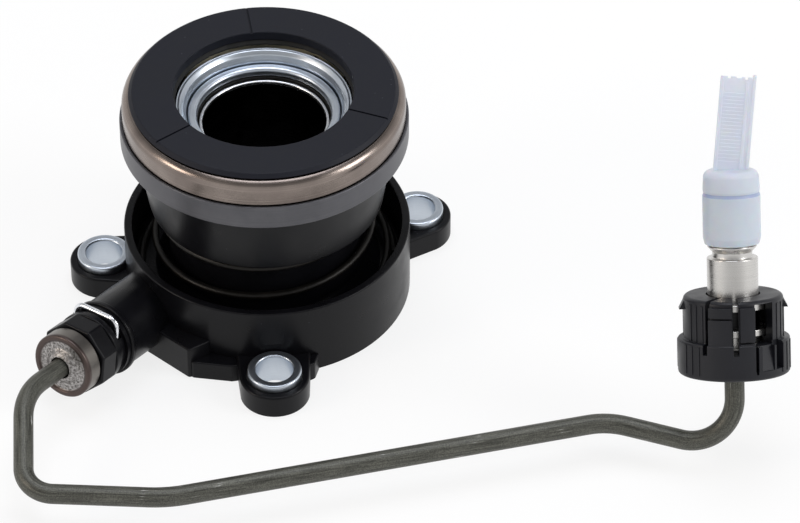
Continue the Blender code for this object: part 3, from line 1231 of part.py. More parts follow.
def build():
    """Build the whole slave cylinder."""
    shop = Workshop("concentric slave cylinder")
    finishes = {
        "nylon": finish("Black glass-filled nylon", "1c1b20", 0.38),
        "contact": finish("Black polyamide face", "2e2f38", 0.62),
        "polymer": finish("Piston polymer", "33312e", 0.45),
        "cage": finish("Cage polyamide", "b9b29a", 0.55),
        "zinc": finish("Zinc plated steel", "c9ccd2", 0.28, 1.0),
        "sleeve": finish("Drawn steel sleeve", "9a9ea6", 0.32, 1.0),
        "race": finish("Ground bearing steel", "8a8480", 0.30, 1.0),
        "ball": finish("Ball steel", "b4b6ba", 0.12, 1.0),
        "cover": finish("Grey sheet cover", "58575d", 0.45, 0.6),
        "spring": finish("Dark spring steel", "2b2825", 0.40, 0.8),
        "bright": finish("Bright spring wire", "d6d8dc", 0.20, 1.0),
        "rubber": finish("Black rubber", "141414", 0.75),
        "ferrule": finish("Brazed steel ferrule", "7a736d", 0.40, 0.9),
        "pipe": finish("Coated steel tube", "6f7168", 0.45, 0.5),
        "fitting": finish("Turned steel fitting", "b8b2ad", 0.25, 1.0),
        "cap": finish("Translucent polyethylene", "dfe8f4", 0.35),
    }
    root = shop.frame("input_shaft_axis")
    slide = shop.frame("release_slide", root)
    spinner = shop.frame("bearing_axis", slide)
    orbit = shop.frame("cage_axis", slide)
    port = shop.frame("port_axis", root, PORT_FACE, port_frame_rotation())
    clip_frame = shop.frame("clip_slide", port, (0.0, 0.0, -BOSS_FACE_DEPTH - CLIP_DEPTH))
    lean = Matrix.Rotation(math.radians(FITTING_SIDE_LEAN), 3, "Y")
    lean = lean @ Matrix.Rotation(-math.radians(FITTING_LEAN), 3, "X")
    fitting = shop.frame("fitting_axis", root, FITTING_BASE, lean)
    cap_frame = shop.frame("cap_slide", fitting)

    build_housing(shop, root, port, finishes["nylon"])
    build_fixed_rings(shop, root, finishes)
    build_spring(shop, root, finishes)
    build_piston(shop, slide, finishes)
    build_carrier(shop, slide, finishes)
    build_races(shop, slide, spinner, finishes)
    build_spinning_trim(shop, spinner, finishes)
    build_balls(shop, orbit, finishes)
    build_port(shop, port, clip_frame, finishes)
    build_pipe(shop, root, port, fitting, finishes)
    build_fitting(shop, fitting, finishes)
    build_collar(shop, fitting, finishes)
    build_cap(shop, cap_frame, finishes)
    seat_on_origin(shop, root)


build()
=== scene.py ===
"""Looks of the concentric slave cylinder: fine surfaces, finishes, light and camera.

The CAD model is the fixed frame. Each sub-assembly is a class whose fields are its sizes. Its
methods build finer meshes in the same places and dress them with procedural finishes. Sizes are
in millimetres, and the meshes are written in metres.
"""
import json
import logging
import math
from dataclasses import dataclass
from enum import Enum
from typing import Any, Callable, Iterable, Mapping, Optional, Sequence

import bmesh
import bpy
from mathutils import Matrix, Vector

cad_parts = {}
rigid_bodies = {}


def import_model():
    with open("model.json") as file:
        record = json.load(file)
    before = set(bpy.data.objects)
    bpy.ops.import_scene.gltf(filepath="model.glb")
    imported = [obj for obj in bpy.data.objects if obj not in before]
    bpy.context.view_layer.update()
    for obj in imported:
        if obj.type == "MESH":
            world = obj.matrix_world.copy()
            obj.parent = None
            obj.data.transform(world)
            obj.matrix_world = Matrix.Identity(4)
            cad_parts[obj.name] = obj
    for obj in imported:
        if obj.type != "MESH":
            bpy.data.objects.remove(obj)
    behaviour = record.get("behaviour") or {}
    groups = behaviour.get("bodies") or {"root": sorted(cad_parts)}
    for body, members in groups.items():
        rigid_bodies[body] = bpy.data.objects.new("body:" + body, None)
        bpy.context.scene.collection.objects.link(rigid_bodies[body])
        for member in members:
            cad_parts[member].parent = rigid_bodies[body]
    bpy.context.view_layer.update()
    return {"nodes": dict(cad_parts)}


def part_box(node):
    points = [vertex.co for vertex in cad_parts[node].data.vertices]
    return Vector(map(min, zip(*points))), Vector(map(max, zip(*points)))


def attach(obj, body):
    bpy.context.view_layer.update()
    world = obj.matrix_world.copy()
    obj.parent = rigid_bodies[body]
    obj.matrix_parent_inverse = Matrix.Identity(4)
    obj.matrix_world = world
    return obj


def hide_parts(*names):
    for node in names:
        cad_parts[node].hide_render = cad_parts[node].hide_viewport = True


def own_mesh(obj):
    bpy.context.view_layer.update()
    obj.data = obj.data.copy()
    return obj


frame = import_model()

LOG = logging.getLogger("slave_cylinder")
MM = 0.001
TURN = 2.0 * math.pi
SHARP_ANGLE = math.radians(34.0)
UPRIGHT = Matrix.Rotation(0.5 * math.pi, 4, "X")
WHITE = "ffffff"

Corner = Sequence[float]
Loop = list[tuple[float, float]]


class Body(Enum):
    """Bodies of the frame that pieces ride on."""

    CYLINDER = "cylinder"
    SLIDER = "slider"
    BEARING = "bearing"
    CLIP = "clip"
    CAP = "cap"


class Slot(Enum):
    """Names of the record's material slots. No piece here is given one."""

    NYLON = "moulded_nylon"
    CONTACT = "contact_polyamide"
    ZINC = "zinc_steel"
    SLEEVE = "drawn_steel"
    RACE = "ground_steel"
    COVER = "grey_sheet"
    SPRING = "spring_steel"
    WIRE = "bright_wire"
    BRAZED = "brazed_steel"
    TUBE = "coated_tube"
    TURNED = "turned_steel"
    CAP = "translucent_plastic"


class Facets(Enum):
    """Steps round a turned piece, by its size."""

    LARGE = 144
    MEDIUM = 96
    SMALL = 64
    WIRE = 16


# Colours and nodes


def linear(hex_colour: str) -> tuple[float, float, float, float]:
    """Turn an sRGB hex colour into linear RGBA.

    Args:
        hex_colour: Six hex digits.

    Returns:
        Red, green, blue and alpha, linear.
    """
    channels = [int(hex_colour[i:i + 2], 16) / 255.0 for i in (0, 2, 4)]
    red, green, blue = (c / 12.92 if c <= 0.04045 else ((c + 0.055) / 1.055) ** 2.4 for c in channels)
    return red, green, blue, 1.0


def add(
    tree: bpy.types.NodeTree,
    kind: str,
    links: Optional[Mapping[Any, bpy.types.NodeSocket]] = None,
    values: Optional[Mapping[Any, Any]] = None,
    **settings: Any,
) -> bpy.types.Node:
    """Add a node with its settings, socket values and incoming links.

    Args:
        tree: Node tree that receives the node.
        kind: Node type.
        links: Output socket to link, for each input's name or number.
        values: Default value, for each input's name or number.
        **settings: Properties of the node, set first.

    Returns:
        The new node.
    """
    node = tree.nodes.new(kind)
    for key, value in settings.items():
        setattr(node, key, value)
    for key, value in (values or {}).items():
        node.inputs[key].default_value = value
    for key, source in (links or {}).items():
        tree.links.new(source, node.inputs[key])
    return node


def begin(name: str, **sockets: Any) -> tuple[bpy.types.Material, bpy.types.NodeTree, bpy.types.Node]:
    """Start a material from its Principled shader.

    Args:
        name: Name of the finish.
        **sockets: Values of the shader's sockets, with _ for a space.

    Returns:
        The material, its node tree and its shader.
    """
    material = bpy.data.materials.new(name)
    material.use_nodes = True
    tree = material.node_tree
    shader = tree.nodes["Principled BSDF"]
    for key, value in sockets.items():
        shader.inputs[key.replace("_", " ")].default_value = value
    return material, tree, shader


def per_mm(size: float) -> float:
    """Texture scale at which a pattern repeats about once in a size given in millimetres."""
    return 1.0 / (size * MM)


# Finishes


@dataclass(frozen=True)
class MouldedPlastic:
    """Injection-moulded plastic: a satin skin with faint flow clouds, fine grain, and pale specks that are
    partly fibres and dust and partly painted glints.
    """

    name: str
    colour: str
    cloud_colour: str
    speck_and_glint_colour: str
    roughness: tuple[float, float]
    specular: float = 0.3
    cloud: float = 7.0
    grain: float = 0.30
    grain_relief: float = 0.008
    speck: float = 2.6
    speck_share: float = 0.045

    def make(self) -> bpy.types.Material:
        """Build the material."""
        material, tree, shader = begin(self.name, Specular_IOR_Level=self.specular)
        place = add(tree, "ShaderNodeTexCoord").outputs["Object"]
        cloud = add(
            tree, "ShaderNodeTexNoise", {"Vector": place}, {"Scale": per_mm(self.cloud), "Detail": 4.0},
        ).outputs["Fac"]
        tone = add(
            tree, "ShaderNodeMix", {0: cloud},
            {6: linear(self.colour), 7: linear(self.cloud_colour)}, data_type="RGBA",
        ).outputs[2]
        # A few pale points: partly glass fibres and dust at the surface, partly painted glints
        cells = add(
            tree, "ShaderNodeTexVoronoi", {"Vector": place}, {"Scale": per_mm(self.speck), "Randomness": 1.0},
        ).outputs["Distance"]
        point = add(
            tree, "ShaderNodeMapRange", {"Value": cells},
            {"From Min": self.speck_share, "From Max": 0.5 * self.speck_share, "To Min": 0.0, "To Max": 0.8},
        ).outputs["Result"]
        colour = add(
            tree, "ShaderNodeMix", {0: point, 6: tone}, {7: linear(self.speck_and_glint_colour)}, data_type="RGBA",
        ).outputs[2]
        polish = add(
            tree, "ShaderNodeMapRange", {"Value": cloud},
            {"From Min": 0.3, "From Max": 0.7, "To Min": self.roughness[0], "To Max": self.roughness[1]},
        ).outputs["Result"]
        grain = add(
            tree, "ShaderNodeTexNoise", {"Vector": place}, {"Scale": per_mm(self.grain), "Detail": 2.0},
        ).outputs["Fac"]
        bump = add(
            tree, "ShaderNodeBump", {"Height": grain}, {"Strength": 0.5, "Distance": self.grain_relief * MM},
        ).outputs["Normal"]
        tree.links.new(colour, shader.inputs["Base Color"])
        tree.links.new(polish, shader.inputs["Roughness"])
        tree.links.new(bump, shader.inputs["Normal"])
        return material


@dataclass(frozen=True)
class TurnedMetal:
    """Turned, ground or plated steel: fine rings round the piece's own axis, and soft clouds of tone.

    The real rings are about 0.1 mm apart. They are drawn coarser, so that they show.
    """

    name: str
    colour: str
    shade: str
    roughness: tuple[float, float]
    pitch: float = 0.18
    relief: float = 0.002
    cloud: float = 5.0
    metallic: float = 1.0
    spread: tuple[float, float] = (0.12, 0.40)
    edge_z: Optional[float] = None
    inner_colour: str = "050506"

    def make(self) -> bpy.types.Material:
        """Build the material."""
        material, tree, shader = begin(self.name, Metallic=self.metallic)
        place = add(tree, "ShaderNodeTexCoord").outputs["Object"]
        flat = add(
            tree, "ShaderNodeVectorMath", {0: place}, {1: (1.0, 1.0, 0.0)}, operation="MULTIPLY",
        ).outputs["Vector"]
        distance = add(tree, "ShaderNodeVectorMath", {0: flat}, operation="LENGTH").outputs["Value"]
        height = add(tree, "ShaderNodeSeparateXYZ", {0: place}).outputs["Z"]
        section = add(tree, "ShaderNodeCombineXYZ", {"X": distance, "Z": height}).outputs["Vector"]
        rings = add(
            tree, "ShaderNodeTexNoise", {"Vector": section},
            {"Scale": per_mm(self.pitch), "Detail": 3.0, "Roughness": 0.6},
        ).outputs["Fac"]
        cloud = add(
            tree, "ShaderNodeTexNoise", {"Vector": place}, {"Scale": per_mm(self.cloud), "Detail": 5.0},
        ).outputs["Fac"]
        mixed = add(tree, "ShaderNodeMath", {0: rings, 1: cloud}, operation="MULTIPLY").outputs[0]
        tone = add(
            tree, "ShaderNodeMapRange", {"Value": mixed},
            {"From Min": self.spread[0], "From Max": self.spread[1]},
        ).outputs["Result"]
        colour = add(
            tree, "ShaderNodeMix", {0: tone},
            {6: linear(self.shade), 7: linear(self.colour)}, data_type="RGBA",
        ).outputs[2]
        if self.edge_z is not None:
            # Below edge_z the colour is near black; only the rolled edge above it keeps the steel's colour
            deep = add(
                tree, "ShaderNodeMath", {0: height}, {1: self.edge_z * MM}, operation="LESS_THAN",
            ).outputs[0]
            colour = add(
                tree, "ShaderNodeMix", {0: deep, 6: colour}, {7: linear(self.inner_colour)}, data_type="RGBA",
            ).outputs[2]
        polish = add(
            tree, "ShaderNodeMapRange", {"Value": mixed},
            {
                "From Min": self.spread[0], "From Max": self.spread[1],
                "To Min": self.roughness[0], "To Max": self.roughness[1],
            },
        ).outputs["Result"]
        bump = add(
            tree, "ShaderNodeBump", {"Height": rings}, {"Strength": 0.6, "Distance": self.relief * MM},
        ).outputs["Normal"]
        tree.links.new(colour, shader.inputs["Base Color"])
        tree.links.new(polish, shader.inputs["Roughness"])
        tree.links.new(bump, shader.inputs["Normal"])
        return material


@dataclass(frozen=True)
class CoatedTube:
    """Drawn steel tube with a dull olive-grey coating: fine speckle, drawing streaks and scuffs."""

    name: str = "Coated steel tube, drawn"
    colour: str = "66665e"
    dark: str = "363631"
    scuff_colour: str = "c6c6c2"
    roughness: tuple[float, float] = (0.36, 0.55)
    metallic: float = 0.45
    speckle: float = 0.28
    relief: float = 0.012
    streak_width: float = 0.35
    streak_length: float = 9.0
    spread: tuple[float, float] = (0.14, 0.38)
    scuff: float = 5.0
    scuff_spread: tuple[float, float] = (0.40, 0.46)
    scuff_strength: float = 0.85

    def make(self) -> bpy.types.Material:
        """Build the material. The mesh's UV map holds metres round and along the tube."""
        material, tree, shader = begin(self.name, Metallic=self.metallic)
        coordinates = add(tree, "ShaderNodeTexCoord")
        place = coordinates.outputs["Object"]
        speckle = add(
            tree, "ShaderNodeTexNoise", {"Vector": place}, {"Scale": per_mm(self.speckle), "Detail": 3.0},
        ).outputs["Fac"]
        stretched = add(
            tree, "ShaderNodeVectorMath", {0: coordinates.outputs["UV"]},
            {1: (per_mm(self.streak_width), per_mm(self.streak_length), 1.0)}, operation="MULTIPLY",
        ).outputs["Vector"]
        streak = add(
            tree, "ShaderNodeTexNoise", {"Vector": stretched}, {"Scale": 1.0, "Detail": 3.0},
        ).outputs["Fac"]
        blend = add(tree, "ShaderNodeMath", {0: speckle, 1: streak}, operation="MULTIPLY").outputs[0]
        tone = add(
            tree, "ShaderNodeMapRange", {"Value": blend},
            {"From Min": self.spread[0], "From Max": self.spread[1]},
        ).outputs["Result"]
        base = add(
            tree, "ShaderNodeMix", {0: tone},
            {6: linear(self.dark), 7: linear(self.colour)}, data_type="RGBA",
        ).outputs[2]
        patch = add(
            tree, "ShaderNodeTexNoise", {"Vector": place}, {"Scale": per_mm(self.scuff), "Detail": 6.0},
        ).outputs["Fac"]
        worn = add(tree, "ShaderNodeMath", {0: patch, 1: streak}, operation="MULTIPLY").outputs[0]
        bare = add(
            tree, "ShaderNodeMapRange", {"Value": worn},
            {
                "From Min": self.scuff_spread[0], "From Max": self.scuff_spread[1],
                "To Max": self.scuff_strength,
            },
        ).outputs["Result"]
        colour = add(
            tree, "ShaderNodeMix", {0: bare, 6: base}, {7: linear(self.scuff_colour)}, data_type="RGBA",
        ).outputs[2]
        polish = add(
            tree, "ShaderNodeMapRange", {"Value": streak},
            {"From Min": 0.3, "From Max": 0.7, "To Min": self.roughness[0], "To Max": self.roughness[1]},
        ).outputs["Result"]
        bump = add(
            tree, "ShaderNodeBump", {"Height": blend}, {"Strength": 0.5, "Distance": self.relief * MM},
        ).outputs["Normal"]
        tree.links.new(colour, shader.inputs["Base Color"])
        tree.links.new(polish, shader.inputs["Roughness"])
        tree.links.new(bump, shader.inputs["Normal"])
        return material


@dataclass(frozen=True)
class BrazedSteel:
    """Steel ferrule brazed on the tube: a smooth grey side, a brown heat ring and a rough silvery face."""

    name: str = "Steel, brazed"
    side: str = "75716c"
    ring: str = "524845"
    face: str = "b3b0ae"
    pit: str = "4c4846"
    grain: float = 0.55
    face_relief: float = 0.16
    side_relief: float = 0.004
    face_radius: float = 6.7
    face_z: float = -1.3
    soft_edge: float = 0.4
    spread: tuple[float, float] = (0.36, 0.62)
    roughness: float = 0.36

    def make(self) -> bpy.types.Material:
        """Build the material. The piece's own Z axis runs along the tube."""
        material, tree, shader = begin(self.name, Metallic=0.9, Roughness=self.roughness)
        place = add(tree, "ShaderNodeTexCoord").outputs["Object"]
        flat = add(
            tree, "ShaderNodeVectorMath", {0: place}, {1: (1.0, 1.0, 0.0)}, operation="MULTIPLY",
        ).outputs["Vector"]
        distance = add(tree, "ShaderNodeVectorMath", {0: flat}, operation="LENGTH").outputs["Value"]
        height = add(tree, "ShaderNodeSeparateXYZ", {0: place}).outputs["Z"]
        grit = add(
            tree, "ShaderNodeTexNoise", {"Vector": place},
            {"Scale": per_mm(self.grain), "Detail": 5.0, "Roughness": 0.65},
        ).outputs["Fac"]
        inside = add(
            tree, "ShaderNodeMapRange", {"Value": distance},
            {"From Min": self.face_radius * MM, "From Max": (self.face_radius - self.soft_edge) * MM},
        ).outputs["Result"]
        front = add(
            tree, "ShaderNodeMapRange", {"Value": height},
            {"From Min": self.face_z * MM, "From Max": (self.face_z + self.soft_edge) * MM},
        ).outputs["Result"]
        rough = add(tree, "ShaderNodeMath", {0: inside, 1: front}, operation="MULTIPLY").outputs[0]
        speck = add(
            tree, "ShaderNodeMapRange", {"Value": grit},
            {"From Min": self.spread[0], "From Max": self.spread[1]},
        ).outputs["Result"]
        brazed = add(
            tree, "ShaderNodeMix", {0: speck}, {6: linear(self.pit), 7: linear(self.face)}, data_type="RGBA",
        ).outputs[2]
        steel = add(
            tree, "ShaderNodeMix", {0: front}, {6: linear(self.side), 7: linear(self.ring)}, data_type="RGBA",
        ).outputs[2]
        colour = add(tree, "ShaderNodeMix", {0: rough, 6: steel, 7: brazed}, data_type="RGBA").outputs[2]
        relief = add(
            tree, "ShaderNodeMapRange", {"Value": rough},
            {"To Min": self.side_relief * MM, "To Max": self.face_relief * MM},
        ).outputs["Result"]
        bump = add(
            tree, "ShaderNodeBump", {"Height": grit, "Distance": relief}, {"Strength": 0.8},
        ).outputs["Normal"]
        tree.links.new(colour, shader.inputs["Base Color"])
        tree.links.new(bump, shader.inputs["Normal"])
        return material


@dataclass(frozen=True)
class MilkyPolyethylene:
    """Low-density polyethylene, moulded: milky, half see-through, with a faint blue cast."""

    name: str = "Polyethylene, moulded"
    colour: str = "eef3fd"
    cloud_colour: str = "e2eaf9"
    roughness: float = 0.38
    transmission: float = 0.42
    subsurface: float = 0.35
    reach: float = 2.0
    cloud: float = 3.0
    ripple: float = 0.9
    relief: float = 0.03

    def make(self) -> bpy.types.Material:
        """Build the material."""
        material, tree, shader = begin(
            self.name, Roughness=self.roughness, IOR=1.51, Transmission_Weight=self.transmission,
            Subsurface_Weight=self.subsurface, Subsurface_Scale=self.reach * MM,
        )
        place = add(tree, "ShaderNodeTexCoord").outputs["Object"]
        cloud = add(
            tree, "ShaderNodeTexNoise", {"Vector": place}, {"Scale": per_mm(self.cloud), "Detail": 2.0},
        ).outputs["Fac"]
        colour = add(
            tree, "ShaderNodeMix", {0: cloud},
            {6: linear(self.colour), 7: linear(self.cloud_colour)}, data_type="RGBA",
        ).outputs[2]
        wave = add(
            tree, "ShaderNodeTexNoise", {"Vector": place}, {"Scale": per_mm(self.ripple), "Detail": 1.0},
        ).outputs["Fac"]
        bump = add(
            tree, "ShaderNodeBump", {"Height": wave}, {"Strength": 0.4, "Distance": self.relief * MM},
        ).outputs["Normal"]
        tree.links.new(colour, shader.inputs["Base Color"])
        tree.links.new(bump, shader.inputs["Normal"])
        return material


class Finishes:
    """Every material of the object, made once."""

    # Height of the guide sleeve's bright edge, in millimetres
    BRIGHT_EDGE = 0.9

    def __init__(self) -> None:
        """Build the materials."""
        # Glass-filled nylon, moulded: near black and satin, with soft sheens, and pale points of fibre and
        # painted glint
        self.nylon = MouldedPlastic(
            "Glass-filled nylon, moulded", "09090b", "101014", "55565e", (0.26, 0.38), 0.17,
        ).make()
        # The same nylon from a spark-eroded mould: greyer and duller. The real grain is finer, and is drawn
        # as coarse as it needs to show
        self.latch_nylon = MouldedPlastic(
            "Nylon, spark-eroded mould", "111115", "1e1f25", "5c5d66", (0.34, 0.52), 0.30, grain=0.45,
            grain_relief=0.03,
        ).make()
        # Plain polyamide, moulded: matt blue-black rubbing face
        self.contact = MouldedPlastic(
            "Polyamide, moulded", "0f1119", "151721", "60636c", (0.50, 0.62), 0.22, cloud=11.0, grain=0.4,
        ).make()
        # Phenolic, moulded: brown-black with a dull shine
        self.piston = MouldedPlastic(
            "Phenolic polymer, moulded", "1b1a19", "242321", "45423e", (0.42, 0.55),
        ).make()
        # Polyamide without pigment, moulded: cream and faintly cloudy
        self.cage = MouldedPlastic(
            "Natural polyamide, moulded", "b9b29a", "c7c1ab", "d8d3c2", (0.45, 0.60), 0.5,
        ).make()
        # Nitrile rubber, moulded: dead black and dull
        self.rubber = MouldedPlastic(
            "Nitrile rubber, moulded", "0b0b0b", "141414", "2a2a2a", (0.62, 0.78), 0.35,
        ).make()
        # Zinc plate: bright and silky, slightly blue, with soft grey clouds
        self.zinc = TurnedMetal(
            "Steel, zinc plated", "cfd6de", "bec6d0", (0.28, 0.36), pitch=0.30, relief=0.0003, cloud=6.0,
        ).make()
        # Drawn steel: bright at its top edge, and near black below it
        edge = extent("guide_sleeve")[1].z - self.BRIGHT_EDGE
        self.sleeve = TurnedMetal(
            "Steel, drawn, near black below its edge", "f4f5f8", "d8dbe0", (0.20, 0.34), edge_z=edge,
        ).make()
        # Bearing steel, ground and tempered: brown-grey polish with fine grinding rings
        self.race = TurnedMetal(
            "Bearing steel, ground", "968b84", "756b66", (0.20, 0.30), pitch=0.35, relief=0.0012,
            cloud=9.0,
        ).make()
        # Bearing steel, lapped: mirror bright
        self.ball = TurnedMetal("Bearing steel, lapped", "d5d6d8", "a9abb0", (0.06, 0.12)).make()
        # Pressed sheet, phosphated: an even mid grey with a dull shine
        self.cover = TurnedMetal(
            "Sheet steel, phosphated", "626266", "545458", (0.36, 0.48), pitch=0.5, relief=0.001,
            metallic=0.7,
        ).make()
        # Spring steel, oil tempered: brown-black with a dull shine
        self.spring = TurnedMetal(
            "Spring steel, oil tempered", "1f1c19", "0d0c0b", (0.34, 0.50), pitch=0.4, metallic=0.6,
        ).make()
        # Spring wire, drawn: the whitest metal of the part
        self.wire = TurnedMetal("Spring wire, drawn", "f7f8fa", "d9dce1", (0.18, 0.28), pitch=0.6).make()
        # Free-cutting steel, turned: bright and neutral, with fine rings
        self.turned = TurnedMetal(
            "Free-cutting steel, turned", "cfcdca", "c2c0bd", (0.24, 0.32), pitch=0.22, relief=0.0002,
            cloud=8.0,
        ).make()
        # The same steel painted darker, as shade where the collar shades it
        self.painted_shade_steel = TurnedMetal(
            "Free-cutting steel, painted shade", "4a4a4b", "222223", (0.30, 0.45), pitch=0.5, relief=0.002,
        ).make()
        # Coated steel tube, drawn: dull olive grey, speckled and streaked, with pale scuffs
        self.tube = CoatedTube().make()
        # Brazed steel: brown from the torch's heat, and rough and silvery where the braze ran
        self.brazed = BrazedSteel().make()
        # Polyethylene, moulded: milky, with a faint blue cast
        self.milky = MilkyPolyethylene().make()
        # The same wall with a blue-grey band of painted shade, where a seal lies behind it
        self.milky_seal_shade = MilkyPolyethylene("Polyethylene, painted seal shade", "bcc8e6", "b2c0e2").make()


# Meshes


def rounded(corners: Sequence[Corner], segments: int = 4) -> Loop:
    """Round the corners of a closed outline.

    Args:
        corners: Points as (x, y) or (x, y, fillet radius), in millimetres.
        segments: Pieces that each fillet is made of.

    Returns:
        The outline's points.
    """
    loop: Loop = []
    for i, corner in enumerate(corners):
        here = Vector(corner[:2])
        fillet = corner[2] if len(corner) > 2 else 0.0
        back = Vector(corners[i - 1][:2]) - here
        ahead = Vector(corners[(i + 1) % len(corners)][:2]) - here
        half = 0.5 * back.angle(ahead)
        if fillet <= 0.0 or half > 0.49 * math.pi:
            loop.append((here.x, here.y))
            continue
        reach = min(fillet / math.tan(half), 0.49 * back.length, 0.49 * ahead.length)
        radius = reach * math.tan(half)
        centre = here + (back.normalized() + ahead.normalized()).normalized() * (radius / math.sin(half))
        first = here + back.normalized() * reach - centre
        last = here + ahead.normalized() * reach - centre
        start = math.atan2(first.y, first.x)
        sweep = (math.atan2(last.y, last.x) - start + math.pi) % TURN - math.pi
        for k in range(segments + 1):
            angle = start + sweep * k / segments
            loop.append((centre.x + radius * math.cos(angle), centre.y + radius * math.sin(angle)))
    return loop


def arc(centre: tuple[float, float], radius: float, start: float, end: float, count: int) -> Loop:
    """Points on an arc, angles in degrees, both ends included."""
    angles = [math.radians(start + (end - start) * i / (count - 1)) for i in range(count)]
    return [(centre[0] + radius * math.cos(a), centre[1] + radius * math.sin(a)) for a in angles]


def finished_mesh(name: str, form: bmesh.types.BMesh) -> bpy.types.Mesh:
    """Write a form to a mesh in metres, with smooth shading that breaks at sharp edges.

    Args:
        name: Name of the mesh.
        form: Form in millimetres, which is freed.

    Returns:
        The mesh.
    """
    bmesh.ops.recalc_face_normals(form, faces=form.faces)
    bmesh.ops.scale(form, vec=(MM, MM, MM), verts=form.verts)
    mesh = bpy.data.meshes.new(name)
    form.to_mesh(mesh)
    form.free()
    mesh.shade_smooth()
    mesh.set_sharp_from_angle(angle=SHARP_ANGLE)
    return mesh


def lathe(name: str, loop: Loop, facets: Facets = Facets.LARGE) -> bpy.types.Mesh:
    """Turn a closed outline of (radius, height) round the Z axis.

    Args:
        name: Name of the mesh.
        loop: Outline in millimetres. A radius of 0 is a pole.
        facets: Steps round the axis.

    Returns:
        The closed mesh.
    """
    steps = facets.value
    form = bmesh.new()
    rings = []
    for radius, height in loop:
        count = steps if radius > 1e-6 else 1
        rings.append([
            form.verts.new((radius * math.cos(TURN * k / steps), radius * math.sin(TURN * k / steps), height))
            for k in range(count)
        ])
    for one, two in zip(rings, rings[1:] + rings[:1]):
        if len(one) == 1 and len(two) == 1:
            continue
        for k in range(steps):
            n = (k + 1) % steps
            ring = [one[k % len(one)], two[k % len(two)], two[n % len(two)], one[n % len(one)]]
            form.faces.new(list(dict.fromkeys(ring)))
    return finished_mesh(name, form)


def inset(outline: Loop, distance: float) -> Loop:
    """Move a closed outline inwards by a distance, corner by corner.

    Args:
        outline: Points in millimetres, either way round.
        distance: How far each side moves.

    Returns:
        As many points as the outline has.
    """
    points = [Vector(point) for point in outline]
    turned = sum(a.x * b.y - b.x * a.y for a, b in zip(points, points[1:] + points[:1]))
    moved = []
    for before, here, after in zip(points[-1:] + points, points, points[1:] + points[:1]):
        one, two = (here - before).normalized(), (after - here).normalized()
        mitre = (one + two).normalized().orthogonal() * math.copysign(1.0, turned)
        reach = distance / max(mitre.dot(one.orthogonal() * math.copysign(1.0, turned)), 0.3)
        moved.append((here.x + mitre.x * reach, here.y + mitre.y * reach))
    return moved


def plate(name: str, outline: Loop, low: float, high: float, edge: float = 0.0) -> bpy.types.Mesh:
    """Thicken a flat outline along Z, with its upper edge rounded.

    Args:
        name: Name of the mesh.
        outline: Points in millimetres. Its fillets are wider than the edge.
        low: Height of the lower face.
        high: Height of the upper face.
        edge: Rounding of the upper edge.

    Returns:
        The closed mesh.
    """
    layers = [(outline, low)]
    for degrees in (0.0, 30.0, 60.0, 90.0) if edge > 0.0 else (90.0,):
        angle = math.radians(degrees)
        layers.append((inset(outline, edge * (1.0 - math.cos(angle))), high - edge * (1.0 - math.sin(angle))))
    form = bmesh.new()
    rings = [[form.verts.new((x, y, height)) for x, y in loop] for loop, height in layers]
    form.faces.new(rings[0])
    form.faces.new(rings[-1])
    for one, two in zip(rings, rings[1:]):
        for i, j in zip(range(len(outline)), [*range(1, len(outline)), 0]):
            form.faces.new((one[i], one[j], two[j], two[i]))
    return finished_mesh(name, form)


def block(name: str, low: Corner, high: Corner, edge: float = 0.0) -> bpy.types.Mesh:
    """Box between two corners in millimetres, with all its edges rounded by edge."""
    form = bmesh.new()
    size = [high[i] - low[i] for i in range(3)]
    centre = [0.5 * (high[i] + low[i]) for i in range(3)]
    bmesh.ops.create_cube(form, size=1.0, matrix=Matrix.Translation(centre) @ Matrix.Diagonal((*size, 1.0)))
    if edge > 0.0:
        bmesh.ops.bevel(form, geom=list(form.edges), offset=edge, segments=2, profile=0.5, affect="EDGES")
    return finished_mesh(name, form)


def tube(name: str, route: Sequence[Vector], radius: float, sides: int = 24) -> bpy.types.Mesh:
    """Sweep a round section along a route, with a UV map in metres round and along it.

    Args:
        name: Name of the mesh.
        route: Points in millimetres.
        radius: Radius of the section.
        sides: Points round the section.

    Returns:
        The closed mesh.
    """
    form = bmesh.new()
    layer = form.loops.layers.uv.new("UVMap")
    tangents = [(b - a).normalized() for a, b in zip(route, route[1:])]
    tangents = [tangents[0], *[(a + b).normalized() for a, b in zip(tangents, tangents[1:])], tangents[-1]]
    side = tangents[0].orthogonal().normalized()
    rings, along = [], [0.0]
    for i, (point, tangent) in enumerate(zip(route, tangents)):
        if i:
            side = (tangents[i - 1].rotation_difference(tangent) @ side).normalized()
            along.append(along[-1] + (point - route[i - 1]).length)
        up = tangent.cross(side)
        ring = []
        for k in range(sides):
            angle = TURN * k / sides
            ring.append(form.verts.new(point + radius * (math.cos(angle) * side + math.sin(angle) * up)))
        rings.append(ring)
    for i in range(len(rings) - 1):
        for k in range(sides):
            n = (k + 1) % sides
            face = form.faces.new((rings[i][k], rings[i][n], rings[i + 1][n], rings[i + 1][k]))
            around = [k, k + 1, k + 1, k]
            lengths = [along[i], along[i], along[i + 1], along[i + 1]]
            for corner, step, length in zip(face.loops, around, lengths):
                corner[layer].uv = (TURN * radius * step / sides * MM, length * MM)
    form.faces.new(rings[0])
    form.faces.new(rings[-1])
    return finished_mesh(name, form)


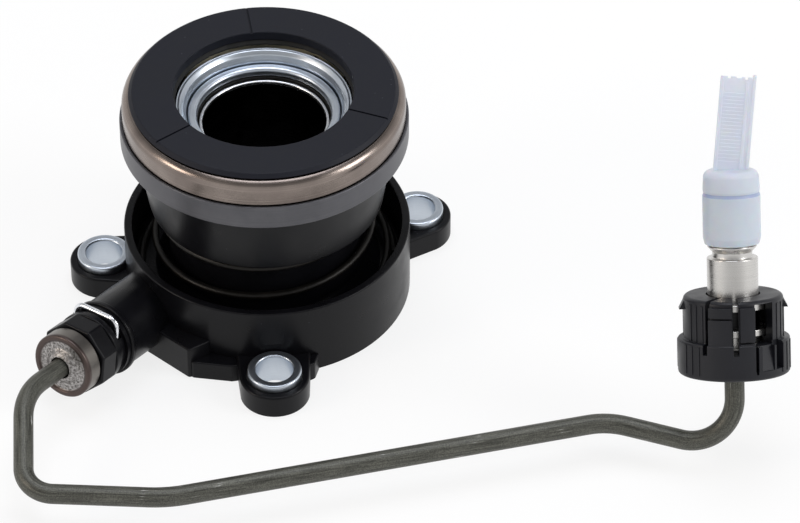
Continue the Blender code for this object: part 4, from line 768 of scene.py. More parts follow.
def bent_route(corners: Sequence[Vector], radii: Sequence[float], step: float) -> list[Vector]:
    """Straight runs between corners, with an arc of its own radius at each inner corner.

    Args:
        corners: Ends and corners of the route, in millimetres.
        radii: Bend radius at each inner corner.
        step: Largest angle between two points of a bend.

    Returns:
        Points of the route.
    """
    points = [Vector(corners[0])]
    for before, corner, after, radius in zip(corners, corners[1:], corners[2:], radii):
        back = (before - corner).normalized()
        ahead = (after - corner).normalized()
        turned = math.pi - back.angle(ahead)
        reach = radius * math.tan(0.5 * turned)
        centre = corner + (back + ahead).normalized() * (radius / math.cos(0.5 * turned))
        start = corner + back * reach - centre
        axis = start.cross(corner + ahead * reach - centre).normalized()
        count = max(2, math.ceil(turned / step))
        for i in range(count + 1):
            points.append(centre + Matrix.Rotation(turned * i / count, 3, axis) @ start)
    points.append(Vector(corners[-1]))
    return points


def spaced(points: Sequence[Vector], spacing: float) -> list[Vector]:
    """Split long straight runs of a route so that its faces stay short.

    Args:
        points: Points of the route.
        spacing: Longest run left whole.

    Returns:
        Points of the finer route.
    """
    fine = [points[0]]
    for one, two in zip(points, points[1:]):
        count = max(1, math.ceil((two - one).length / spacing))
        fine += [one.lerp(two, i / count) for i in range(1, count + 1)]
    return fine


class Fusion:
    """A base solid that others are joined to and cut from, with two Booleans."""

    def __init__(self, base: bpy.types.Mesh, place: Matrix) -> None:
        """Start from a base.

        Args:
            base: Mesh of the base.
            place: Its place in the row frame.
        """
        self.base = self.solid(base, place)
        self.groups = {
            "UNION": bpy.data.collections.new("joined"),
            "DIFFERENCE": bpy.data.collections.new("cut"),
        }
        for group in self.groups.values():
            bpy.context.scene.collection.children.link(group)

    @staticmethod
    def solid(mesh: bpy.types.Mesh, place: Matrix) -> bpy.types.Object:
        """Make a placed object."""
        item = bpy.data.objects.new(mesh.name, mesh)
        item.matrix_world = place
        return item

    def join(self, mesh: bpy.types.Mesh, place: Matrix) -> None:
        """Join a solid to the base."""
        self.groups["UNION"].objects.link(self.solid(mesh, place))

    def cut(self, mesh: bpy.types.Mesh, place: Matrix) -> None:
        """Cut a solid from the base."""
        self.groups["DIFFERENCE"].objects.link(self.solid(mesh, place))

    def result(self, name: str) -> bpy.types.Mesh:
        """Run the Booleans and clear the solids away.

        Args:
            name: Name of the new mesh.

        Returns:
            The fused mesh, in the base's own axes.
        """
        bpy.context.scene.collection.objects.link(self.base)
        for operation, group in self.groups.items():
            if group.objects:
                step = self.base.modifiers.new(operation, "BOOLEAN")
                step.operation = operation
                step.solver = "MANIFOLD"
                step.operand_type = "COLLECTION"
                step.collection = group
        bpy.context.view_layer.update()
        solid = self.base.evaluated_get(bpy.context.evaluated_depsgraph_get())
        mesh = bpy.data.meshes.new_from_object(solid)
        mesh.name = name
        mesh.materials.clear()
        mesh.shade_smooth()
        mesh.set_sharp_from_angle(angle=SHARP_ANGLE)
        for group in self.groups.values():
            for item in list(group.objects):
                bpy.data.objects.remove(item, do_unlink=True)
            bpy.data.collections.remove(group)
        bpy.data.objects.remove(self.base, do_unlink=True)
        return mesh


def piece(
    name: str,
    mesh: bpy.types.Mesh,
    place: Matrix,
    finish: bpy.types.Material,
    body: Body,
    replaced: Iterable[str] = (),
) -> bpy.types.Object:
    """Add a shown piece that rides on a body.

    Args:
        name: Name of the piece.
        mesh: Its mesh.
        place: Its place in the row frame.
        finish: Its material.
        body: Body that it rides on.
        replaced: CAD nodes that it stands for.

    Returns:
        The piece.
    """
    item = bpy.data.objects.new(name, mesh)
    bpy.context.scene.collection.objects.link(item)
    item.matrix_world = place
    mesh.materials.append(finish)
    shading = item.modifiers.new("Even shading", "WEIGHTED_NORMAL")
    shading.keep_sharp = True
    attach(item, body.value)
    nodes = list(replaced)
    if nodes:
        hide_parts(*nodes)
    LOG.info("%s: %d faces, on %s, for %s", name, len(mesh.polygons), body.value, nodes or "itself")
    return item


def dress_faces(
    item: bpy.types.Object,
    finish: bpy.types.Material,
    axes: Matrix,
    chosen: Callable[[float, float], bool],
) -> None:
    """Give some faces of a piece a finish of their own.

    Args:
        item: The piece.
        finish: Finish of the chosen faces.
        axes: Axes in which the faces are chosen.
        chosen: Test of a face by its centre's radius and height in those axes, in millimetres.
    """
    mesh = item.data
    mesh.materials.append(finish)
    number = len(mesh.materials) - 1
    back = axes.inverted() @ item.matrix_world
    for face in mesh.polygons:
        centre = (back @ face.center) / MM
        if chosen(math.hypot(centre.x, centre.y), centre.z):
            face.material_index = number


# Places


def middle(node: str) -> Vector:
    """Centre of a CAD node's box in the row frame."""
    low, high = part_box(node)
    return 0.5 * (low + high)


SHAFT = Vector((middle("guide_sleeve").x, middle("guide_sleeve").y, 0.0))
SHAFT_PLACE = Matrix.Translation(SHAFT)


def extent(node: str) -> tuple[Vector, Vector]:
    """Lowest and highest corner of a CAD node in millimetres from the shaft axis and mounting plane."""
    low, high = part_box(node)
    return (low - SHAFT) / MM, (high - SHAFT) / MM


def shaft_place(x: float = 0.0, y: float = 0.0, z: float = 0.0, degrees: float = 0.0) -> Matrix:
    """Place in millimetres from the shaft axis, turned round it after the shift."""
    turn = Matrix.Rotation(math.radians(degrees), 4, "Z")
    return SHAFT_PLACE @ turn @ Matrix.Translation(Vector((x, y, z)) * MM)


def settled(mesh: bpy.types.Mesh, place: Matrix) -> bpy.types.Mesh:
    """Turn a leaning piece's mesh into the shaft's axes, so that its box is no larger than it is."""
    mesh.transform(SHAFT_PLACE.inverted() @ place)
    return mesh


@dataclass(frozen=True)
class PortAxis:
    """Axis of the pressure port: outer face of the ferrule and direction out of the housing."""

    x: float = -48.2
    y: float = -47.0
    z: float = 13.6
    azimuth: float = 236.3
    tilt: float = 10.2

    def place(self) -> Matrix:
        """Axes of the port: X level, Y up, Z out of the housing."""
        azimuth, tilt = math.radians(self.azimuth), math.radians(self.tilt)
        out = Vector((math.cos(tilt) * math.cos(azimuth), math.cos(tilt) * math.sin(azimuth), math.sin(tilt)))
        level = Vector((-math.sin(azimuth), math.cos(azimuth), 0.0))
        turn = Matrix((level, out.cross(level), out)).transposed().to_4x4()
        return shaft_place(self.x, self.y, self.z) @ turn


@dataclass(frozen=True)
class FittingAxis:
    """Axis of the quick connector: centre of the collar's lower face, and leans to the back and side."""

    x: float = 111.5
    y: float = -60.3
    z: float = 24.5
    lean: float = 31.0
    side_lean: float = -2.1

    def place(self) -> Matrix:
        """Axes of the connector: X along the pipe, Z towards its tip."""
        sideways = Matrix.Rotation(math.radians(self.side_lean), 4, "Y")
        backwards = Matrix.Rotation(-math.radians(self.lean), 4, "X")
        return shaft_place(self.x, self.y, self.z) @ sideways @ backwards


PORT = PortAxis().place()
FITTING = FittingAxis().place()


# Sub-assemblies


@dataclass
class CupHousing:
    """Moulded cup with ears, port boss and pressure cylinder, and what is pressed into it."""

    finishes: Finishes
    radius: float = 35.3
    wall: float = 2.0
    rim: float = 19.7
    rim_fillet: float = 0.40
    seat: float = 7.4
    cylinder: float = 24.3
    cylinder_top: float = 28.95
    cylinder_bore: float = 21.0
    foot_width: float = 3.4
    foot_height: float = 4.0
    chamber_floor: float = 4.5
    floor_bore: float = 16.1
    recess: float = 1.8
    recess_radius: float = 20.5
    seal_groove: tuple[float, float, float] = (28.05, 30.35, 2.3)
    pockets: int = 10
    pocket: tuple[float, float, float] = (22.95, 25.75, 3.0)
    pocket_half: float = 15.5
    ear_radius: float = 8.5
    ear_height: float = 6.0
    ear_root: float = 9.2
    ear_edge: float = 0.6
    plate_edge: float = 0.4
    block_height: float = 9.0
    flange_height: float = 5.0
    bushing_radius: float = 6.6
    bushing_bore: float = 4.5
    bushing_height: float = 8.0
    bushing_fillet: float = 0.5
    bushing_gap: float = 0.3
    boss: float = 9.0
    boss_collar: float = 9.6
    boss_face: float = -10.3
    boss_root: float = -40.0
    boss_edge: float = 0.4
    boss_collar_back: float = 2.6
    boss_collar_length: float = 1.6
    clip_depth: float = -13.3
    clip_half: float = 6.0
    clip_slot: float = 0.95
    clip_slot_foot: float = 6.8
    clip_groove: float = 0.8
    clip_groove_gap: float = 0.3
    socket: float = 6.5
    socket_depth: float = 11.8
    guide_bore: float = 15.0
    guide_radius: float = 15.8
    guide_foot: float = 1.2
    sunk: float = 4.0

    # Name, degrees round the shaft and distance from it
    EARS = (("front", -86.5, 41.7), ("right", 26.0, 41.3), ("left", 178.3, 40.9))
    # Outlines of the block under the boss and of the ribs beside the front ear: x, y and fillet
    PORT_BLOCK = (
        (-32.0, -4.0), (-36.8, -13.0, 2.0), (-34.5, -22.2, 3.0), (-30.8, -25.2, 1.0),
        (-18.4, -36.2, 0.8), (-13.6, -33.0, 0.8), (-10.0, -27.7), (-20.0, -10.0),
    )
    LEFT_FLANGE = (
        (-21.3, -26.1), (-19.0, -34.6, 1.0), (-17.5, -36.2, 0.9), (-8.0, -37.6, 1.0), (-0.3, -36.1),
        (-0.7, -27.3),
    )
    RIGHT_FLANGE = (
        (6.1, -38.1), (9.0, -38.6, 1.0), (12.2, -36.4, 1.0), (13.2, -32.6, 1.0), (8.3, -27.6), (3.4, -28.8),
    )

    def build(self) -> None:
        """Build the housing, its bushings and the guide sleeve."""
        f = self.finishes
        cup = self.shell()
        piece("cup_moulding", cup, SHAFT_PLACE, f.nylon, Body.CYLINDER, ["housing"])
        for ear, degrees, distance in self.EARS:
            angle = math.radians(degrees)
            place = shaft_place(distance * math.cos(angle), distance * math.sin(angle))
            name = f"{ear}_bolt_sleeve"
            piece(name, self.bushing(name), place, f.zinc, Body.CYLINDER, [f"bushing_{ear}"])
        guide = self.guide()
        piece("piston_guide", guide, SHAFT_PLACE, f.sleeve, Body.CYLINDER, ["guide_sleeve"])

    def shell(self) -> bpy.types.Mesh:
        """Cup, ears and boss joined, then hollowed and drilled."""
        low = -self.sunk
        blank = rounded([
            (0.0, self.cylinder_top),
            (self.cylinder + 0.3, self.cylinder_top),
            (self.cylinder + 0.3, self.rim),
            (self.radius, self.rim, self.rim_fillet),
            (self.radius, low),
            (0.0, low),
        ])
        fusion = Fusion(lathe("cup blank", blank), SHAFT_PLACE)
        self.join_outside(fusion)
        self.cut_inside(fusion)
        span = 4.0 * self.radius
        fusion.cut(block("mounting plane", (-span, -span, -span), (span, span, 0.0)), SHAFT_PLACE)
        return fusion.result("cup_moulding")

    def join_outside(self, fusion: Fusion) -> None:
        """Join ears, block, flanges and boss."""
        low = -0.5 * self.sunk
        root = self.radius - 2.0 * self.wall
        for name, degrees, distance in self.EARS:
            outline = arc((distance, 0.0), self.ear_radius, -80.0, 80.0, 33)
            outline = [(root, -self.ear_root), *outline, (root, self.ear_root)]
            mesh = plate(f"ear {name}", outline, low, self.ear_height, self.ear_edge)
            fusion.join(mesh, shaft_place(degrees=degrees))
        for name, outline, high in (
            ("port block", self.PORT_BLOCK, self.block_height),
            ("left flange", self.LEFT_FLANGE, self.flange_height),
            ("right flange", self.RIGHT_FLANGE, self.flange_height),
        ):
            # No two of their lower faces lie in one plane, so the solver has no doubt
            low -= 0.1
            fusion.join(plate(name, rounded(outline), low, high, self.plate_edge), SHAFT_PLACE)
        boss = rounded([
            (0.0, self.boss_root), (self.boss, self.boss_root), (self.boss, self.boss_face, self.boss_edge),
            (0.0, self.boss_face),
        ])
        fusion.join(lathe("boss", boss, Facets.MEDIUM), PORT)
        high = self.clip_depth - self.boss_collar_back
        low = high - self.boss_collar_length
        collar = rounded([
            (0.0, low), (self.boss_collar, low, self.boss_edge), (self.boss_collar, high, self.boss_edge),
            (0.0, high),
        ])
        fusion.join(lathe("boss collar", collar, Facets.MEDIUM), PORT)

    def cut_inside(self, fusion: Fusion) -> None:
        """Cut the spring space, the chamber, the seal groove, the pockets and the bolt and port holes."""
        above = self.cylinder_top + self.sunk
        below = -2.0 * self.sunk
        cavity = self.radius - self.wall
        lip = self.rim_fillet
        spring_space = [(cavity + lip, above), *arc((cavity + lip, self.rim - lip), lip, 90.0, 180.0, 5)]
        spring_space += rounded([
            (cavity, self.rim - 2.0 * lip),
            (cavity, self.seat, 0.8),
            (self.cylinder + self.foot_width, self.seat, 0.6),
            (self.cylinder, self.seat + self.foot_height, 1.5),
            (self.cylinder, self.cylinder_top - lip),
        ])
        spring_space += [(self.cylinder, above)]
        fusion.cut(lathe("spring space", spring_space), SHAFT_PLACE)
        chamber = rounded([
            (0.0, above), (self.cylinder_bore, above), (self.cylinder_bore, self.chamber_floor, 0.3),
            (self.floor_bore, self.chamber_floor), (self.floor_bore, self.recess),
            (self.recess_radius, self.recess), (self.recess_radius, below), (0.0, below),
        ])
        fusion.cut(lathe("chamber", chamber), SHAFT_PLACE)
        inner, outer, deep = self.seal_groove
        groove = [(outer, deep), (outer, below), (inner, below), (inner, deep)]
        fusion.cut(lathe("seal groove", groove), SHAFT_PLACE)
        inner, outer, deep = self.pocket
        half = self.pocket_half
        sector = arc((0.0, 0.0), outer, -half, half, 7) + arc((0.0, 0.0), inner, half, -half, 7)
        for i in range(self.pockets):
            mesh = plate("pocket", sector, -self.sunk, deep)
            fusion.cut(mesh, shaft_place(degrees=360.0 * (i + 0.5) / self.pockets))
        radius = self.bushing_radius + self.bushing_gap
        low, high = -0.7 * self.sunk, self.ear_height + self.sunk
        for _, degrees, distance in self.EARS:
            hole = rounded([(0.0, high), (radius, high), (radius, low), (0.0, low)])
            place = shaft_place(degrees=degrees) @ Matrix.Translation((distance * MM, 0.0, 0.0))
            fusion.cut(lathe("bolt hole", hole, Facets.SMALL), place)
        low, high = self.boss_face - self.socket_depth, self.boss_face + self.sunk
        bore = [(0.0, low), (self.socket, low), (self.socket, high), (0.0, high)]
        fusion.cut(lathe("port socket", bore, Facets.MEDIUM), PORT)
        half, outer = self.clip_slot, self.boss_collar + self.sunk
        low, high = self.clip_depth - half, self.clip_depth + half
        for x in (-self.clip_half, self.clip_half):
            slot = block("clip slot", (x - half, -self.clip_slot_foot, low), (x + half, outer, high))
            fusion.cut(slot, PORT)
        floor, gap = self.boss - self.clip_groove, self.clip_groove_gap
        ring = [(outer, high + gap), (outer, low - gap), (floor, low - gap), (floor, high + gap)]
        fusion.cut(lathe("clip groove", ring, Facets.MEDIUM), PORT)

    def bushing(self, name: str) -> bpy.types.Mesh:
        """Plated sleeve for a bolt, with rolled edges."""
        bore, radius, high = self.bushing_bore, self.bushing_radius, self.bushing_height
        fillet = self.bushing_fillet
        section = rounded([(bore, 0.0), (radius, 0.0), (radius, high, fillet), (bore, high, fillet)])
        return lathe(name, section, Facets.SMALL)

    def guide(self) -> bpy.types.Mesh:
        """Thin tube that the piston runs on, with a rolled upper edge and a foot flange."""
        low, high = extent("guide_sleeve")
        bore, outer, foot = self.guide_bore, self.guide_radius, low.z + self.guide_foot
        section = rounded([
            (bore, low.z), (high.x, low.z, 0.3), (high.x, foot, 0.3), (outer, foot, 0.5),
            (outer, high.z, 0.2), (bore, high.z, 0.35),
        ])
        return lathe("piston_guide", section)


@dataclass
class ReleaseBearing:
    """Release bearing on its carrier: contact ring, races, cover, retainer and carrier cup."""

    finishes: Finishes
    contact_inner: float = 21.8
    contact_top: float = 31.7
    contact_base: float = 32.8
    contact_thickness: float = 1.1
    contact_hub: float = 1.5
    groove_width: float = 0.5
    groove_depth: float = 0.4
    groove_start: float = 99.0
    grooves: int = 3
    flange_bore: float = 23.6
    ball: float = 3.25
    ball_pitch: float = 26.5
    ball_z: float = 51.2
    ball_gap: float = 0.3
    outer_crown: float = 3.7
    cover_gap: float = 0.3
    cover_sheet: float = 0.7
    cover_lip: float = 28.1
    race_wall: float = 2.0
    race_bore: float = 18.8
    race_lip: float = 21.2
    race_lip_z: float = 57.2
    race_seat: float = 27.5
    retainer_bore: float = 17.6
    retainer_lip: float = 16.2
    retainer_crown: float = 2.0
    carrier_wall: float = 1.2
    carrier_web: float = 2.0
    carrier_hub: float = 18.6
    carrier_foot: float = 28.8
    carrier_seat: float = 27.8
    carrier_step: float = 0.55

    def build(self) -> None:
        """Build the bearing and its carrier."""
        f = self.finishes
        for name, mesh, finish, body, slot, node in (
            ("rubbing_ring", self.contact(), f.contact, Body.BEARING, Slot.CONTACT, "contact_ring"),
            ("outer_ring", self.outer(), f.race, Body.BEARING, Slot.RACE, "outer_race"),
            ("sheet_shroud", self.cover(), f.cover, Body.BEARING, Slot.COVER, "bearing_cover"),
            ("inner_ring", self.inner(), f.zinc, Body.SLIDER, Slot.ZINC, "inner_race"),
            ("retaining_sleeve", self.retainer(), f.zinc, Body.SLIDER, Slot.ZINC, "bearing_retainer"),
            ("carrier_cup", self.carrier(), f.nylon, Body.SLIDER, Slot.NYLON, "carrier"),
        ):
            piece(name, mesh, SHAFT_PLACE, finish, body, [node])

    def contact(self) -> bpy.types.Mesh:
        """Flat plastic ring with three radial grooves."""
        low, high = extent("contact_ring")
        top = high.z
        base = top - self.contact_thickness
        hub = self.contact_inner + self.contact_hub
        section = rounded([
            (self.contact_inner, low.z), (hub, low.z), (hub, base), (self.contact_base, base, 0.15),
            (self.contact_top, top, 0.5), (self.contact_inner, top, 0.35),
        ], 5)
        fusion = Fusion(lathe("rubbing ring", section), SHAFT_PLACE)
        half = 0.5 * self.groove_width
        groove = block(
            "groove", (self.contact_inner - 1.0, -half, top - self.groove_depth),
            (self.contact_base + 1.0, half, top + self.contact_thickness),
        )
        for i in range(self.grooves):
            fusion.cut(groove, shaft_place(degrees=self.groove_start + 360.0 * i / self.grooves))
        return fusion.result("rubbing_ring")

    def outer(self) -> bpy.types.Mesh:
        """Drawn outer race with a full, rounded shoulder."""
        low, high = extent("outer_race")
        shoulder = extent("bearing_cover")[1].z + self.cover_gap
        skirt = high.x - self.cover_gap
        under = high.z - self.outer_crown
        raceway = arc((self.ball_pitch, self.ball_z), self.ball + self.ball_gap, 0.0, 60.0, 9)
        section = rounded([
            (self.flange_bore, high.z), (high.x, high.z, 2.6), (high.x, shoulder, 0.3),
            (skirt, shoulder), (skirt, low.z, 0.2), (raceway[0][0], low.z, 0.4),
        ], 8)
        section += [*raceway, (self.ball_pitch + 0.8, under), (self.flange_bore, under)]
        return lathe("outer_ring", section)

    def cover(self) -> bpy.types.Mesh:
        """Pressed sheet ring over the foot of the outer race."""
        low, high = extent("bearing_cover")
        sheet = self.cover_sheet
        section = rounded([
            (high.x - sheet, high.z, 0.12), (high.x, high.z, 0.30), (high.x, low.z, 0.5),
            (self.cover_lip, low.z, 0.1), (self.cover_lip, low.z + sheet, 0.1),
            (high.x - sheet, low.z + sheet, 0.2),
        ])
        return lathe("sheet_shroud", section)

    def inner(self) -> bpy.types.Mesh:
        """Inner race, rolled outwards at its mouth."""
        low = extent("inner_race")[0]
        bore, wall, lip = self.race_bore, self.race_bore + self.race_wall, self.race_lip_z
        reach = self.ball + self.ball_gap
        section = rounded([
            (self.race_lip, lip, 0.7), (self.race_lip, lip - 0.8, 0.3), (wall, lip - 2.2, 0.8),
        ])
        section += arc((self.ball_pitch, self.ball_z), reach, 180.0, 270.0, 9)
        section += rounded([
            (self.race_seat, self.ball_z - reach, 0.2), (self.race_seat, low.z, 0.3), (bore, low.z, 0.3),
            (bore, lip - 2.6, 1.4), (bore + 0.6, lip - 1.1, 0.9), (bore + 1.7, lip, 0.5),
        ])
        return lathe("inner_ring", section)

    def retainer(self) -> bpy.types.Mesh:
        """Flanged sleeve that holds the inner race on the piston."""
        low, high = extent("bearing_retainer")
        under = high.z - self.retainer_crown
        section = rounded([
            (high.x, low.z), (high.x, high.z, 0.5), (self.retainer_lip, high.z, 1.4),
            (self.retainer_lip, under, 0.2), (self.retainer_bore, under), (self.retainer_bore, low.z),
        ], 6)
        return lathe("retaining_sleeve", section)

    def carrier(self) -> bpy.types.Mesh:
        """Black cup between spring and bearing."""
        low, high = extent("carrier")
        wall, foot = self.carrier_wall, self.carrier_foot
        seat = high.z - self.carrier_step
        web = seat - self.carrier_web
        section = rounded([
            (high.x, high.z, 0.5), (foot, low.z, 0.4), (foot - wall, low.z, 0.3),
            (high.x - 1.4 * wall, web, 0.5), (self.carrier_hub, web), (self.carrier_hub, seat),
            (self.carrier_seat, seat), (self.carrier_seat, high.z, 0.2),
        ], 5)
        return lathe("carrier_cup", section)


@dataclass
class PreloadSpring:
    """Conical coil spring between the housing's floor and the carrier."""

    finishes: Finishes
    wire: float = 0.9
    foot: float = 31.4
    top: float = 26.0
    taper: float = 11.0
    turns: float = 5.25
    end_turns: float = 0.6
    points: int = 56
    stroke: float = 14.0

    def build(self) -> None:
        """Build the spring."""
        low, high = extent("preload_spring")
        first, last = low.z + self.wire, high.z - self.wire
        route = []
        for i in range(int(self.turns * self.points) + 1):
            turn = i / self.points
            share = min(max((turn - self.end_turns) / (self.turns - 2.0 * self.end_turns), 0.0), 1.0)
            z = first + (last - first) * share
            radius = self.foot + (self.top - self.foot) * min((z - first) / self.taper, 1.0)
            route.append(Vector((radius * math.cos(TURN * turn), radius * math.sin(TURN * turn), z)))
        mesh = tube("conical_spring", route, self.wire, Facets.WIRE.value)
        spring = piece(
            "conical_spring", mesh, SHAFT_PLACE, self.finishes.spring, Body.CYLINDER,
            ["preload_spring"],
        )
        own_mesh(spring)


@dataclass
class PressurePort:
    """Plug-in connector, wire clip and brazed ferrule on the port axis."""

    finishes: Finishes
    ferrule: float = 8.2
    ferrule_length: float = 4.6
    ferrule_round: float = 1.5
    face_recess: float = 0.5
    rim_width: float = 1.2
    braze: float = 4.6
    braze_height: float = 0.9
    hole: float = 2.7
    flange: float = 9.4
    flange_length: float = 5.1
    flange_sides: int = 8
    flange_fillet: float = 0.8
    flange_edge: float = 0.5
    spigot: float = 6.2
    spigot_end: float = -21.2
    spigot_bore: float = 1.5
    pipe_end: float = -17.0
    gap: float = 0.3
    clip_z: float = -13.3
    clip_wire: float = 0.65
    clip_half: float = 6.0
    clip_bow: float = 9.15
    clip_corner: float = 2.2
    clip_leg: float = 6.2

    def build(self) -> None:
        """Build the three pieces."""
        f = self.finishes
        piece("brazed_cup", self.cup(), PORT, f.brazed, Body.CYLINDER, ["pipe_ferrule"])
        plug = settled(self.plug(), PORT)
        piece("spigot_moulding", plug, SHAFT_PLACE, f.nylon, Body.CYLINDER, ["port_connector"])
        piece("clip_wire", self.clip(), PORT, f.wire, Body.CLIP, ["port_clip"])

    def cup(self) -> bpy.types.Mesh:
        """Ferrule with a rounded rim and a fillet of braze up to the pipe."""
        rim, floor = self.ferrule - self.rim_width, -self.face_recess
        section = rounded([
            (self.ferrule, -self.ferrule_length, 0.3), (self.ferrule, 0.0, self.ferrule_round),
            (rim, 0.0, 0.4), (rim - 0.5, floor, 0.4), (self.braze, floor, 1.0),
            (0.5 * (self.hole + self.braze), 0.4 * self.braze_height, 0.8),
            (self.hole, self.braze_height, 0.2), (self.hole, -self.ferrule_length),
        ], 5)
        return lathe("brazed_cup", section, Facets.MEDIUM)

    def plug(self) -> bpy.types.Mesh:
        """Spigot with an eight-sided flange."""
        top = -self.ferrule_length - self.gap
        inside = top - self.gap
        reach = self.clip_wire + self.gap
        notch, low, high = self.clip_half - reach, self.clip_z - reach, self.clip_z + reach
        section = [
            (self.spigot, inside), (self.spigot, high), (notch, high), (notch, low), (self.spigot, low),
            (self.spigot, self.spigot_end), (self.spigot_bore, self.spigot_end), (self.spigot_bore, inside),
        ]
        fusion = Fusion(lathe("spigot", section, Facets.MEDIUM), PORT)
        half = 180.0 / self.flange_sides
        corners = arc((0.0, 0.0), self.flange, half, 360.0 - half, self.flange_sides)
        outline = rounded([(x, y, self.flange_fillet) for x, y in corners])
        flange = plate("flange", outline, top - self.flange_length, top, self.flange_edge)
        fusion.join(flange, PORT)
        mouth = top + 2.0
        bore = [(0.0, self.pipe_end), (self.hole, self.pipe_end), (self.hole, mouth), (0.0, mouth)]
        fusion.cut(lathe("bore", bore, Facets.SMALL), PORT)
        return fusion.result("spigot_moulding")

    def clip(self) -> bpy.types.Mesh:
        """Bent wire clip with two straight legs."""
        corners = [
            Vector((side * self.clip_half, y, self.clip_z))
            for side, y in (
                (-1, -self.clip_leg), (-1, self.clip_bow), (1, self.clip_bow), (1, -self.clip_leg),
            )
        ]
        route = bent_route(corners, [self.clip_corner] * 2, math.radians(8.0))
        return tube("clip_wire", spaced(route, 1.0), self.clip_wire, Facets.WIRE.value)


@dataclass
class PressurePipe:
    """Rigid pressure pipe from the port to the quick connector."""

    finishes: Finishes
    radius: float = 2.37
    inner_end: float = -16.3
    port_straight: float = 15.0
    port_bend: float = 17.0
    fitting_straight: float = 19.6
    fitting_bend: float = 10.5
    engagement: float = 6.0
    spacing: float = 2.0
    sides: int = 32

    # Corners of the route from the shaft axis and mounting plane, each with its bend radius
    CORNERS = (((-54.9, -86.3, 10.0), 7.5), ((-21.4, -88.0, 10.0), 30.0), ((82.0, -62.2, 10.0), 18.0))

    def build(self) -> None:
        """Build the pipe along its bends."""
        back = SHAFT_PLACE.inverted()
        port, fitting = back @ PORT, back @ FITTING
        corners = [
            port @ Vector((0.0, 0.0, self.inner_end * MM)) / MM,
            port @ Vector((0.0, 0.0, self.port_straight * MM)) / MM,
            *[Vector(corner) for corner, radius in self.CORNERS],
            fitting @ Vector((0.0, 0.0, -self.fitting_straight * MM)) / MM,
            fitting @ Vector((0.0, 0.0, self.engagement * MM)) / MM,
        ]
        radii = [self.port_bend, *[radius for corner, radius in self.CORNERS], self.fitting_bend]
        route = spaced(bent_route(corners, radii, math.radians(4.0)), self.spacing)
        pipe = tube("bent_tube", route, self.radius, self.sides)
        finish = self.finishes.tube
        piece("bent_tube", pipe, SHAFT_PLACE, finish, Body.CYLINDER, ["hydraulic_pipe"])


